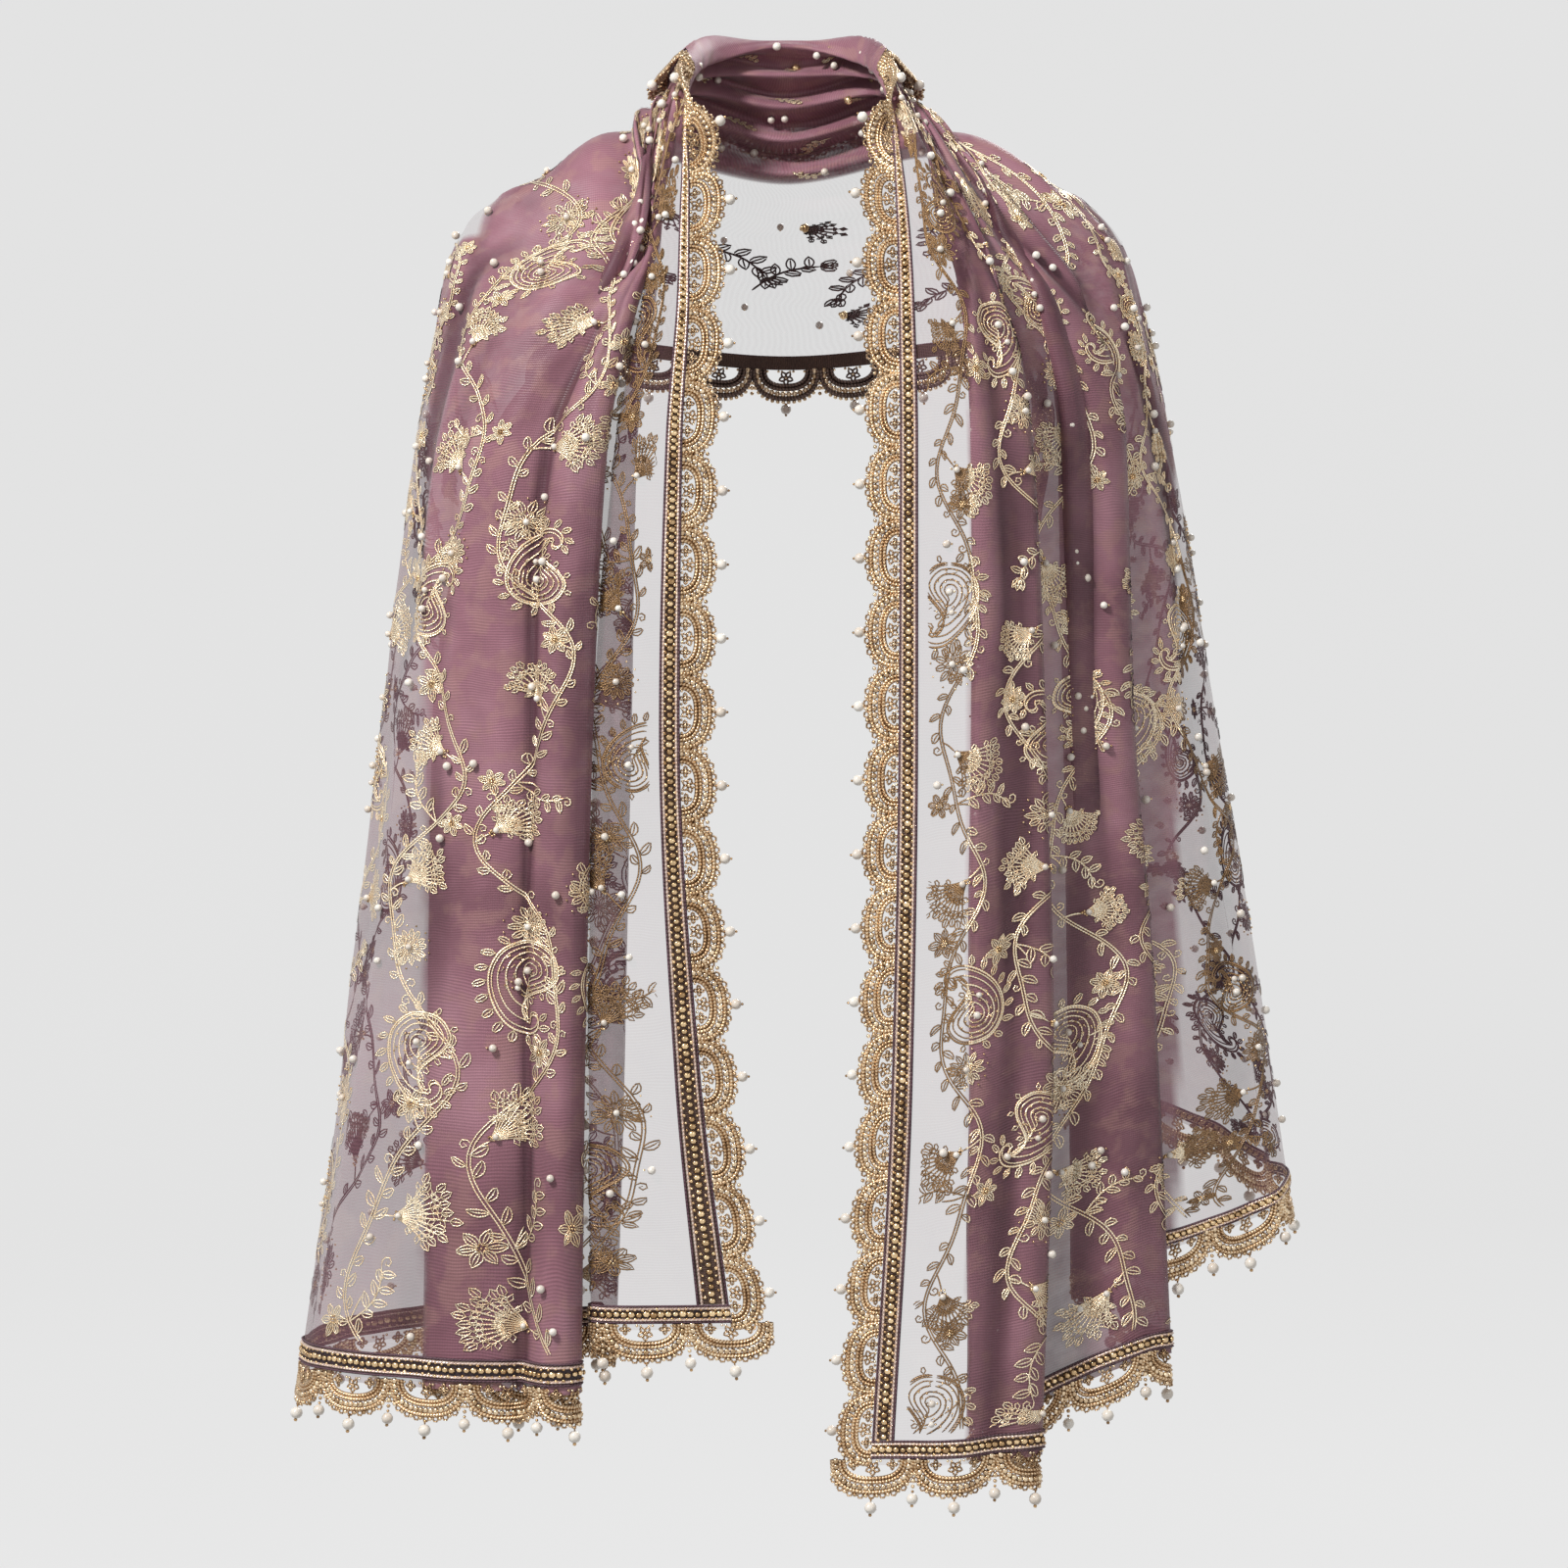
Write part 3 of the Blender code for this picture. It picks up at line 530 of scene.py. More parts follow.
PEARL, BEAD, SEED = ball_shape(6, 9), ball_shape(4, 6), ball_shape(3, 5)


def balls(heap, patch, places, shape, slot, lift, squash=(1, 1, 1), seed=0):
    """Balls at rows of (a, b, radius)."""
    places = np.array(places, float)
    if not len(places):
        return
    centres, axes = patch.frames(places[:, 0], places[:, 1], lift)
    sizes = places[:, 2:3] * np.array(squash)
    points, quads, tris = shape
    count, size = len(centres), len(points)
    placed = centres[:, None] + np.einsum("pk,nk,nkc->npc", points, sizes, axes)
    shade = np.random.default_rng(seed).random(count)
    uvs = np.stack([np.repeat(shade, size), np.tile(points[:, 2], count)], axis=1)
    step = (np.arange(count) * size)[:, None, None]
    faces = [(some[None] + step).reshape(-1, some.shape[1]) for some in (quads, tris) if len(some)]
    heap.add(placed.reshape(-1, 3), uvs, faces, slot)


# ---- motifs, in millimetres, as strokes of (points, half width, closed), with pearls and seed beads ----

rng = random.Random(7)
CURL_TURNS = 1.3
CURL_POINTS = 14
STEM_STEP = 7.0


def moved(points, place, turn):
    c, s = math.cos(turn), math.sin(turn)
    return np.asarray(points) @ np.array([[c, s], [-s, c]]) + place


def polar(radius, turn):
    return np.array([math.cos(turn), math.sin(turn)]) * radius


def walk(headings, reach):
    """Points from (0, 0), each a reach further along its heading."""
    steps = np.stack([np.cos(headings), np.sin(headings)], axis=1) * np.reshape(reach, (-1, 1))
    return np.vstack([[0, 0], np.cumsum(steps[:-1], axis=0)])


class Motif:
    def __init__(self):
        self.strokes, self.pearls, self.seeds = [], [], []

    def stroke(self, points, half=0.7, closed=False):
        self.strokes.append((np.asarray(points, float), half, closed))

    def merge(self, other, place, turn, flip=1):
        mirror = np.array([1, flip])
        for points, half, closed in other.strokes:
            self.stroke(moved(points * mirror, place, turn), half, closed)
        for mine, new in ((self.pearls, other.pearls), (self.seeds, other.seeds)):
            mine += [(*moved(mirror * (x, y), place, turn), r) for x, y, r in new]

    def leaf(self, place, turn, length, width, bend=0.0, veins=1):
        """A looped leaf, with satin stitches inside it."""
        self.stroke(moved(leaf_points(length, width, bend), place, turn), 0.62, True)
        for k in range(veins):
            off = (k - (veins - 1) / 2) * width * 0.8
            vein = [(0.5, 0), (length * 0.45, bend + off), (length * 0.86, bend * 0.4 + off * 0.3)]
            self.stroke(moved(vein, place, turn), 0.6)

    def curl(self, place, turn, size, way=1):
        """A scroll that tightens as it goes."""
        t = np.linspace(0, 1, CURL_POINTS)
        arc = CURL_TURNS * math.tau
        self.stroke(walk(turn + way * t * arc, size * (1 - 0.78 * t) * arc / (CURL_POINTS - 1)) + place, 0.65)


def leaf_points(length, width, bend=0.0, count=8):
    """A closed leaf outline from (0, 0) along +x."""
    t = np.linspace(0, 1, count)
    half = width * np.sin(math.pi * t**0.85) ** 0.8
    middle = bend * np.sin(math.pi * t)
    upper = np.stack([t * length, middle + half], axis=1)
    lower = np.stack([t * length, middle - half], axis=1)[::-1]
    return np.vstack([upper, lower[1:-1]])


def flower(radius, petals):
    motif = Motif()
    for k in range(petals):
        turn = math.tau * k / petals + rng.uniform(-0.1, 0.1)
        reach = radius * rng.uniform(0.88, 1.08)
        motif.leaf(polar(1.6, turn), turn, reach, reach * 0.28, veins=2)
    motif.seeds += [(*polar(2.1, k), 1.0) for k in range(6)] + [(0, 0, 1.2)]
    return motif


def bloom(radius):
    """A full round flower: petals in two rings and a ring of stamens."""
    motif = Motif()
    count = rng.choice((11, 12, 13))
    for k in range(count):
        turn = math.tau * k / count + rng.uniform(-0.08, 0.08)
        motif.leaf(polar(radius * 0.42, turn), turn, radius * rng.uniform(0.56, 0.7), radius * 0.15)
        motif.seeds.append((*polar(radius * 1.2, turn + 0.25), 0.9))
    for k in range(7):
        turn = math.tau * k / 7
        motif.leaf(polar(0.9, turn), turn, radius * 0.46, radius * 0.12)
    motif.pearls.append((0, 0, 2.7))
    return motif


def spray(size, stems=11):
    """A brush of stems from one point, with leaves along them and at their ends and beads at the root,
    growing along +x.
    """
    motif = Motif()
    for k in range(stems):
        share = k / (stems - 1) - 0.5
        reach = size * (1 - 0.5 * abs(share)) * rng.uniform(0.85, 1.1)
        heading = share * 2.1 * (0.45 + 0.55 * np.linspace(0, 1, 7))
        points = walk(heading, reach / 6)
        motif.stroke(points, 0.65)
        motif.leaf(points[-1], heading[-1], size * 0.22, size * 0.07)
        for node in (3, 5):
            for way in (-0.75, 0.75):
                motif.leaf(points[node], heading[-1] + way, size * 0.16, size * 0.045, veins=0)
    motif.seeds += [(rng.uniform(-2, 3), rng.uniform(-3, 3), 1.1) for _ in range(5)]
    motif.pearls.append((size * 0.12, 0, 2.6))
    return motif


# A curled drop about a unit high, its tip at the top left
DROP = (
    (0, -1), (0.45, -0.9), (0.78, -0.5), (0.8, 0), (0.62, 0.45), (0.3, 0.85), (-0.08, 1.1), (-0.46, 1.12),
    (-0.7, 0.9), (-0.66, 0.66), (-0.5, 0.6), (-0.4, 0.7), (-0.46, 0.84), (-0.3, 0.86), (-0.12, 0.66),
    (-0.1, 0.38), (-0.32, 0.12), (-0.62, -0.18), (-0.74, -0.52), (-0.45, -0.9),
)
DROP_BODY = DROP[:8] + DROP[14:]


def rounded(points, count):
    """A smooth closed curve through these points."""
    points = np.asarray(points, float)
    n = len(points)
    t = np.linspace(0, n, count, endpoint=False)
    i = t.astype(int)
    f = (t - i)[:, None]
    p0, p1, p2, p3 = (points[(i + k) % n] for k in (-1, 0, 1, 2))
    square, cube = 2 * p0 - 5 * p1 + 4 * p2 - p3, 3 * p1 - p0 - 3 * p2 + p3
    return 0.5 * (2 * p1 + (p2 - p0) * f + square * f**2 + cube * f**3)


def paisley(size):
    """A curled drop with nested outlines, a leafy fringe and small scrolls."""
    motif = Motif()
    outline, body = rounded(DROP, 60) * size, rounded(DROP_BODY, 34) * size
    core = np.array([0.06, -0.28]) * size
    nested = ((outline, 1, 0.9), (outline, 0.93, 0.6), (body, 0.8, 0.6), (body, 0.62, 0.7), (body, 0.42, 0.6),
              (body, 0.26, 0.6))
    for shape, share, half in nested:
        motif.stroke(core + (shape - core) * share, half, True)
    for k in [*range(1, 28, 2), *range(46, 60, 3)]:
        belly = k < 28
        way = unit(outline[k + belly] - outline[k - 1])
        out = np.array([way[1], -way[0]])
        turn = math.atan2(out[1], out[0])
        if belly:
            motif.leaf(outline[k] + out * 1.2, turn + 0.45, size * rng.uniform(0.26, 0.36), size * 0.075)
        else:
            motif.leaf(outline[k] + out, turn, size * 0.2, size * 0.06, veins=0)
    for k in range(30):
        root = core + polar(size * (0.3 + 0.42 * (k % 5) / 5), k * 2.4)
        motif.stroke([root, root + polar(size * 0.09, k * 2.4 + 1.2)], 0.75)
        motif.seeds.append((*root, 0.9))
    motif.curl(core - size * 0.08, 0.6, size * 0.1)
    motif.pearls += [(*core, 3.0), (core[0] + size * 0.1, core[1] + size * 0.52, 2.4)]
    return motif


def branch(size, way):
    """A side shoot along +x with looped leaves and a curl or a bud at its end."""
    motif = Motif()
    t = np.linspace(0, 1, 10)
    points = np.stack([t * size, way * size * 0.22 * np.sin(t * math.pi * 0.9)], axis=1)
    motif.stroke(points, 0.72)
    for k in range(2, 9):
        side = 1 if k % 2 else -1
        motif.leaf(points[k], side * 0.95 + way * 0.2, size * rng.uniform(0.2, 0.27), size * 0.06)
    last = points[-1] - points[-2]
    heading = math.atan2(last[1], last[0])
    if rng.random() < 0.5:
        motif.curl(points[-1], heading, size * 0.1, way)
    else:
        for spread in (-0.5, 0, 0.5):
            motif.leaf(points[-1], heading + spread, size * 0.24, size * 0.06)
    return motif


def vine(length, wave, swing):
    """A double stem along +x with leaves, shoots, flowers, sprays and paisleys at its bends."""
    motif = Motif()
    x = np.arange(0, length, STEM_STEP)
    phase = rng.uniform(0, math.tau)
    y = swing * np.sin(math.tau * x / wave + phase) + 0.22 * swing * np.sin(math.tau * x / (wave * 0.43))
    slope = np.gradient(y, x)
    for off in (-0.95, 0.95):
        motif.stroke(np.stack([x, y + off * np.sqrt(1 + slope**2)], axis=1), 0.66)
    for k in range(2, len(x) - 2):
        way = 1 if k % 2 else -1
        turn = math.atan(slope[k]) + way * rng.uniform(0.6, 0.95)
        if rng.random() < 0.75:
            motif.leaf((x[k], y[k] + way), turn, rng.uniform(8, 13), rng.uniform(2.0, 3.0), way * 1.0)
        elif rng.random() < 0.5:
            motif.curl((x[k], y[k] + way), turn, rng.uniform(3.0, 4.2), way)
    at, kind = rng.uniform(15, 45), rng.randrange(6)
    while at < length - 20:
        k = min(int(at / STEM_STEP), len(x) - 1)
        way = 1 if y[k] < 0 else -1
        turn = math.atan(slope[k]) + way * rng.uniform(0.7, 1.2)
        root = np.array([x[k], y[k]])
        tip = root + polar(rng.uniform(13, 18), turn)
        motif.stroke([root, (root + tip) / 2 - (way, 0), tip], 0.7)
        if kind == 0:
            motif.merge(paisley(rng.uniform(25, 31)), tip + (0, way * 12), rng.uniform(-0.5, 0.5) + 1.6, way)
        elif kind in (2, 4):
            motif.merge(spray(rng.uniform(28, 38)), tip, turn)
        elif kind == 1:
            motif.merge(bloom(rng.uniform(13, 17)), tip, turn)
        elif kind == 3:
            motif.merge(branch(rng.uniform(38, 52), way), root, turn)
            motif.merge(flower(rng.uniform(8, 11), 6), root - (0, way * 15), turn)
        else:
            motif.merge(flower(rng.uniform(10, 13), rng.choice((6, 7, 8))), tip, turn)
        at += rng.uniform(44, 62)
        kind = (kind + 1) % 6
    return motif


# ---- materials ----


class Material:
    """A material with a Principled shader, and short ways to add nodes to it."""

    def __init__(self, name):
        self.made = bpy.data.materials.new(name)
        self.made.use_nodes = True
        self.tree = self.made.node_tree
        self.sockets = self.tree.nodes["Principled BSDF"].inputs

    def node(self, kind, **settings):
        node = self.tree.nodes.new("ShaderNode" + kind)
        for name, value in settings.items():
            setattr(node, name, value)
        return node

    def put(self, socket, value):
        """Links an output to the socket, or sets the socket to a plain value."""
        if hasattr(value, "links"):
            self.tree.links.new(value, socket)
        else:
            socket.default_value = value

    def set(self, **values):
        for name, value in values.items():
            self.put(self.sockets[name.replace("_", " ")], value)

    def coordinates(self, kind="UV"):
        return self.node("TexCoord").outputs[kind]

    def uv_parts(self):
        split = self.node("SeparateXYZ")
        self.put(split.inputs[0], self.coordinates())
        return split.outputs[0], split.outputs[1]

    def attribute(self, name):
        return self.node("Attribute", attribute_name=name).outputs["Fac"]

    def ramp(self, value, *stops):
        """A colour, or a grey where a stop has one number, for each value."""
        node = self.node("ValToRGB")
        elements = node.color_ramp.elements
        while len(elements) < len(stops):
            elements.new(0.5)
        for element, (position, colour) in zip(elements, stops):
            element.position = position
            element.color = (*colour, 1) if hasattr(colour, "__len__") else (colour, colour, colour, 1)
        self.put(node.inputs[0], value)
        return node.outputs[0]

    def noise(self, vector, scale, detail=3.0):
        node = self.node("TexNoise")
        node.inputs["Scale"].default_value = scale
        node.inputs["Detail"].default_value = detail
        self.put(node.inputs["Vector"], vector)
        return node.outputs["Fac"]

    def calc(self, operation, *values):
        node = self.node("Math", operation=operation)
        for socket, value in zip(node.inputs, values):
            self.put(socket, value)
        return node.outputs[0]

    def times(self, value, by, *plus):
        return self.calc("MULTIPLY_ADD" if plus else "MULTIPLY", value, by, *plus)

    def wave(self, value, period):
        return self.calc("SINE", self.times(value, math.tau / period))

    def mixed(self, factor, first, second, blend="MIX"):
        node = self.node("Mix", data_type="RGBA", blend_type=blend)
        for name, value in (("Factor", factor), ("A", first), ("B", second)):
            self.put(node.inputs[name], value)
        return node.outputs["Result"]

    def bump(self, height, strength, distance):
        bump = self.node("Bump")
        bump.inputs["Strength"].default_value = strength
        bump.inputs["Distance"].default_value = distance
        self.put(bump.inputs["Height"], height)
        self.set(Normal=bump.outputs[0])


MAUVE_DEEP = (0.205, 0.082, 0.108)
MAUVE = (0.315, 0.138, 0.176)
MAUVE_PALE = (0.43, 0.215, 0.26)
SHADOW_WORK = (0.40, 0.215, 0.19, 1)  # embroidery of an under-layer, dimly seen
# Painted shade: the deepest crease troughs have the cloth's colour multiplied by this
PAINTED_TROUGH_SHADE = (0.36, 0.30, 0.33)
WEFT_PERIOD = 0.0021  # metres
WARP_PERIOD = 0.0013
THREAD_RELIEF = 0.0006


def organza():
    """Fine ribs across the fall, cloudy mauve with painted shade in the crease troughs and painted light on
    their ridges, and as see-through as the "cover" attribute says.
    """
    cloth = Material("organza")
    along, over = cloth.uv_parts()
    uv = cloth.coordinates()
    cloud, slub = cloth.noise(uv, 9.0, 5.0), cloth.noise(uv, 70.0)
    colour = cloth.ramp(cloud, (0.3, MAUVE_DEEP), (0.52, MAUVE), (0.74, MAUVE_PALE))
    colour = cloth.mixed(cloth.ramp(cloth.noise(uv, 46.0, 9.0), (0.5, 0.0), (0.6, 0.42)), colour, SHADOW_WORK)
    weft = cloth.wave(cloth.times(cloth.noise(uv, 14.0, 2.0), 0.02, along), WEFT_PERIOD)
    warp = cloth.times(cloth.wave(over, WARP_PERIOD), 0.4)
    weave = cloth.times(cloth.calc("ADD", weft, warp), slub)
    cloth.bump(weave, 0.3, THREAD_RELIEF)
    tone = cloth.ramp(cloth.times(weave, 0.5, 0.5), (0, 0.2), (1, 0.8))
    colour = cloth.mixed(0.35, colour, tone, "OVERLAY")
    # Painted shade and light: the "fold" attribute (the creases' lift) darkens the colour in the troughs and
    # lightens it on the ridges
    level = cloth.times(cloth.attribute("fold"), 0.5, 0.5)
    shade = cloth.ramp(level, (0.05, PAINTED_TROUGH_SHADE), (0.42, 0.86), (0.9, 1.0))
    uneven = cloth.calc("ADD", cloth.times(slub, 0.24), cloth.times(cloud, 0.3))
    cover = cloth.times(cloth.attribute("cover"), cloth.calc("ADD", uneven, 0.74))
    cloth.set(Base_Color=cloth.mixed(1.0, colour, shade, "MULTIPLY"), Alpha=cloth.times(weft, 0.02, cover),
              Roughness=0.45, Sheen_Weight=0.3, Sheen_Roughness=0.35, Specular_IOR_Level=0.3)
    return cloth.made


def thread(name, dark, middle, bright, metallic, twist, reverse=None, roughness=0.34):
    """Twisted metal thread, its twist in relief and painted darker in its grooves. Flat stitches are rounded
    by their uv, in relief and with painted shade towards their edges, and have another colour behind.
    """
    cord = Material(name)
    along, over = cord.uv_parts()
    place = cord.coordinates("Object")
    strand = cord.wave(cord.times(over, twist, along), twist)
    round_over = cord.calc("SINE", cord.times(over, math.pi))
    # Painted shade: the colour follows the twist, darker in its grooves, and below a flat stitch's middle is
    # painted lighter than its edges
    value = cord.times(strand, 0.14, cord.times(cord.noise(place, 900.0, 2.0), 0.55))
    value = cord.calc("ADD", value, cord.times(cord.noise(place, 60.0), 0.45))
    if reverse:
        value = cord.calc("ADD", value, cord.times(round_over, 0.5, -0.27))
    colour = cord.ramp(value, (0.28, dark), (0.48, middle), (0.72, bright))
    # Back faces take the wrong side's colour: partly its own duller colour, partly painted shade
    if reverse:
        behind = cord.node("NewGeometry").outputs["Backfacing"]
        colour = cord.mixed(behind, colour, (*reverse, 1))
        metallic = cord.times(behind, -metallic * 0.8, metallic)
    cord.set(Base_Color=colour, Metallic=metallic, Roughness=roughness)
    cord.bump(cord.times(strand, 0.35, round_over), 0.7, THREAD_RELIEF)
    return cord.made


def bead_material(name, dark, bright, metallic=0.85, roughness=0.26, coat=0.0):
    """Each bead its own shade, by its uv."""
    bead = Material(name)
    fine = bead.noise(bead.coordinates("Object"), 300.0)
    value = bead.times(bead.uv_parts()[0], 0.55, bead.times(fine, 0.5))
    colour = bead.ramp(value, (0.15, dark), (0.85, bright))
    bead.set(Base_Color=colour, Metallic=metallic, Roughness=roughness, Coat_Weight=coat, Coat_Roughness=0.1)
    bead.bump(fine, 0.25, 0.0005)
    return bead.made


# ---- the cloth ----

cloth = Cloth()
dense_runs = np.concatenate([
    np.arange(LEFT_HEM, -300, 10.0), np.arange(-300, 300, 5.5), np.arange(300, RIGHT_HEM, 10.0), [RIGHT_HEM],
])
dense_across = np.unique(np.concatenate([
    np.arange(0, 460, 5.0), np.arange(460, 861, 6.5),
    [66, 70, 376, 380, 384, 424, 432, 436, 440, CLOTH_WIDTH],
]))
smooth_points = cloth.grid(dense_runs, dense_across)
lift = creased(dense_runs, dense_across)
facing = Patch(dense_runs, dense_across, smooth_points).normals
surface = Patch(dense_runs, dense_across, smooth_points + facing * lift[..., None])

FOLD_DEPTH = 4.5  # a trough this deep gets the full painted shade
# How much one layer hides
CLOSE = 0.85
CLOSE_NAPE = 0.96
SHOULDER = 0.97  # where the gathered cloth lies over the shoulders
SHEER_SINGLE = 0.15  # the single layers beside the inner borders
SHEER_LEFT = 0.38  # outside the folded layers on the left fall
SHEER_RIGHT = 0.26
SHEER_BACK = 0.34
SHEER_DOUBLE = 0.45  # beside the left fall's front fold
SHEER_NAPE = 0.1  # the window at the lower nape
DIM_COVER = 0.31  # stitches on cloth that hides less than this get the dark thread: painted shade for stitches seen against the light
# Where those parts of the cloth end, with how far each fades out
SHOULDER_RUN, SHOULDER_FADE, SHOULDER_ACROSS = 540.0, 170.0, 600.0
DOUBLE_ACROSS, DOUBLE_FADE, DOUBLE_RUN, DOUBLE_RUN_FADE = 150.0, 20.0, 200.0, 90.0
LEFT_WINDOW_X, RIGHT_WINDOW_X, WINDOW_FADE = -276.0, 303.0, 4.0
BACK_ACROSS, BACK_FADE = 600.0, 60.0
NAPE_RUN, NAPE_RUN_FADE, NAPE_ACROSS, NAPE_FADE = 235.0, 12.0, 180.0, 40.0
NAPE_WINDOW, NAPE_WINDOW_FADE = 548.0, 10.0
STRIP_RUN, STRIP_RUN_FADE = 165.0, 50.0
LEFT_STRIP, LEFT_STRIP_FADE = 70.0, 4.0
RIGHT_STRIP_X, RIGHT_STRIP_FADE, RIGHT_STRIP_ACROSS = 139.5, 2.4, 125.0


def cover_of(runs, across, points):
    run, over = np.meshgrid(runs, across, indexing="ij")
    out = np.abs(run)
    x = points[..., 0]
    cover = np.full(run.shape, CLOSE)

    def blend(value, share):
        cover[:] = cover + (value - cover) * share

    blend(SHOULDER, eased((SHOULDER_RUN - out) / SHOULDER_FADE) * (over < SHOULDER_ACROSS))
    double = eased((DOUBLE_ACROSS - over) / DOUBLE_FADE) * eased((-run - DOUBLE_RUN) / DOUBLE_RUN_FADE)
    blend(SHEER_DOUBLE, double)
    blend(SHEER_LEFT, eased((LEFT_WINDOW_X - x) / WINDOW_FADE) * (run < 0))
    blend(SHEER_RIGHT, eased((x - RIGHT_WINDOW_X) / WINDOW_FADE) * (run > 0))
    blend(SHEER_BACK, eased((over - BACK_ACROSS) / BACK_FADE))
    nape = eased((NAPE_RUN - out) / NAPE_RUN_FADE)
    blend(CLOSE_NAPE, nape * eased((over - NAPE_ACROSS) / NAPE_FADE))
    blend(SHEER_NAPE, eased((over - NAPE_WINDOW) / NAPE_WINDOW_FADE) * nape)
    fallen = eased((out - STRIP_RUN) / STRIP_RUN_FADE)
    blend(SHEER_SINGLE, eased((LEFT_STRIP - over) / LEFT_STRIP_FADE) * fallen * (run < 0))
    strip = eased((RIGHT_STRIP_X - x) / RIGHT_STRIP_FADE + 0.5) * (over < RIGHT_STRIP_ACROSS)
    blend(SHEER_SINGLE, strip * fallen * (run > 0))
    return cover


cover_grid = cover_of(dense_runs, dense_across, surface.points)


def cloth_piece():
    rows, columns = len(dense_runs), len(dense_across)
    places = np.stack(np.meshgrid(dense_runs, dense_across, indexing="ij"), axis=-1)
    index = np.arange(rows * columns).reshape(rows, columns)
    quads = np.stack([index[:-1, :-1], index[1:, :-1], index[1:, 1:], index[:-1, 1:]], axis=-1).reshape(-1, 4)
    heap = Heap()
    heap.add(surface.points.reshape(-1, 3), places.reshape(-1, 2) * MM, [quads])
    obj = heap.build("organza_sheet", [organza()])
    # The "fold" attribute carries the creases' lift, for the organza's painted shade in the troughs and
    # painted light on the ridges
    for name, field in (("cover", cover_grid), ("fold", np.clip(lift / FOLD_DEPTH, -1, 1))):
        layer = obj.data.attributes.new(name, "FLOAT", "POINT")
        layer.data.foreach_set("value", field.astype(np.float32).ravel())
    return obj


# ---- embroidery ----

STITCH_LIFT = 0.7
STITCH_STEP = 3.0
STITCH_END = 0.45  # a stroke narrows to this share at its ends
FLAP_END = 112.0  # the cloth above this is turned over the collar's crest to the back
# Where across the cloth each vine runs, and how far it swings
VINES = (
    (52, 16), (120, 24), (196, 28), (272, 28), (350, 30),
    (430, 30), (508, 30), (590, 30), (676, 32), (765, 30),
)
FRONT, BACK = (BAND_WIDTH, 620.0), (620.0, CLOTH_WIDTH - BAND_WIDTH)
LEFT, RIGHT = (LEFT_HEM + BAND_WIDTH, -CREST_RUN), (CREST_RUN, RIGHT_HEM - BAND_WIDTH)
REACHES = (
    ("embroidery_left_front", (LEFT, FRONT)),
    ("embroidery_left_back", (LEFT, BACK)),
    ("embroidery_nape", ((-CREST_RUN, CREST_RUN), (BAND_WIDTH, CLOTH_WIDTH - BAND_WIDTH))),
    ("embroidery_right_front", (RIGHT, FRONT)),
    ("embroidery_right_back", (RIGHT, BACK)),
)


def inside(places, reach):
    """Which of these (run, across) rows lie in the reach."""
    (run0, run1), (across0, across1) = reach
    run, across = np.reshape(places, (len(places), -1)).T[:2]
    return (run0 < run) & (run < run1) & (across0 < across) & (across < across1)


def kept(places, reach):
    return [place for place, wanted in zip(places, inside(places, reach)) if wanted]


def stretches(marks):
    """The (start, end) of each stretch of two or more marked points."""
    edges = np.flatnonzero(np.diff(np.concatenate([[0], np.asarray(marks, int), [0]])))
    return [(i, j) for i, j in zip(edges[::2], edges[1::2]) if j - i > 1]


def worked_side(places):
    """1 on the cloth's right side, or -1 inside the collar, where the wrong side is worked and seen."""
    run, across = np.array(places, float).T[:2]
    _, normals = surface.at(run, across)
    hidden = (np.abs(run) < CREST_RUN) & (across > FLAP_END) & (across < NAPE_WINDOW) & (normals[:, 1] > 0)
    return np.where(hidden, -1, 1)


def lay_stitches(heap, motif, reach):
    """Lays a motif's strokes on the cloth as flat stitches, cut off at its reach."""
    paths, halves, ahead, behind = [], [], [], []
    count = 0
    for points, half, closed in motif.strokes:
        if closed:
            points = np.vstack([points, points[:1]])
        fine = resampled(points, STITCH_STEP)[:-1 if closed else None]
        for i, j in stretches(inside(fine, reach)):
            n = j - i
            index = np.arange(n) + count
            width = np.full(n, half)
            if closed and n == len(fine):
                ahead.append(np.roll(index, -1))
                behind.append(np.roll(index, 1))
            else:
                ahead.append(np.minimum(index + 1, count + n - 1))
                behind.append(np.maximum(index - 1, count))
                width[[0, -1]] *= STITCH_END
            paths.append(fine[i:j])
            halves.append(width)
            count += n
    path, half, ahead, behind = (np.concatenate(field) for field in (paths, halves, ahead, behind))
    base, normal = surface.at(path[:, 0], path[:, 1])
    way = worked_side(path)
    centre = base + normal * STITCH_LIFT * way[:, None]
    side = unit(np.cross(centre[ahead] - centre[behind], normal)) * half[:, None]
    points = np.stack([centre + side, centre - side], axis=1).reshape(-1, 3)
    along = np.cumsum(np.linalg.norm(centre[ahead] - centre, axis=1)) % 1000
    uvs = np.stack([np.repeat(along, 2), np.tile([0.0, 1.0], count)], axis=1)
    here = np.arange(count)
    real = (ahead != here) & (way[ahead] == way)
    here, there = here[real], ahead[real]
    quads = np.stack([here * 2, there * 2, there * 2 + 1, here * 2 + 1], axis=1)
    quads = np.where(way[here][:, None] > 0, quads, quads[:, ::-1])
    cover = surface.read(cover_grid, path[here, 0], path[here, 1])
    # Stitches on the most sheer cloth take the dark thread (slot 1): painted shade
    heap.add(points, uvs, [quads], (cover < DIM_COVER).astype(int))


NAPE_STRETCH = 2.0  # the cloth is drawn out this much along the runs at the lower nape
SPRIG_RUN = 215.0  # the sprigs take the vines' place up to here
COLLAR_RUN, COLLAR_TOP = 105.0, 110.0
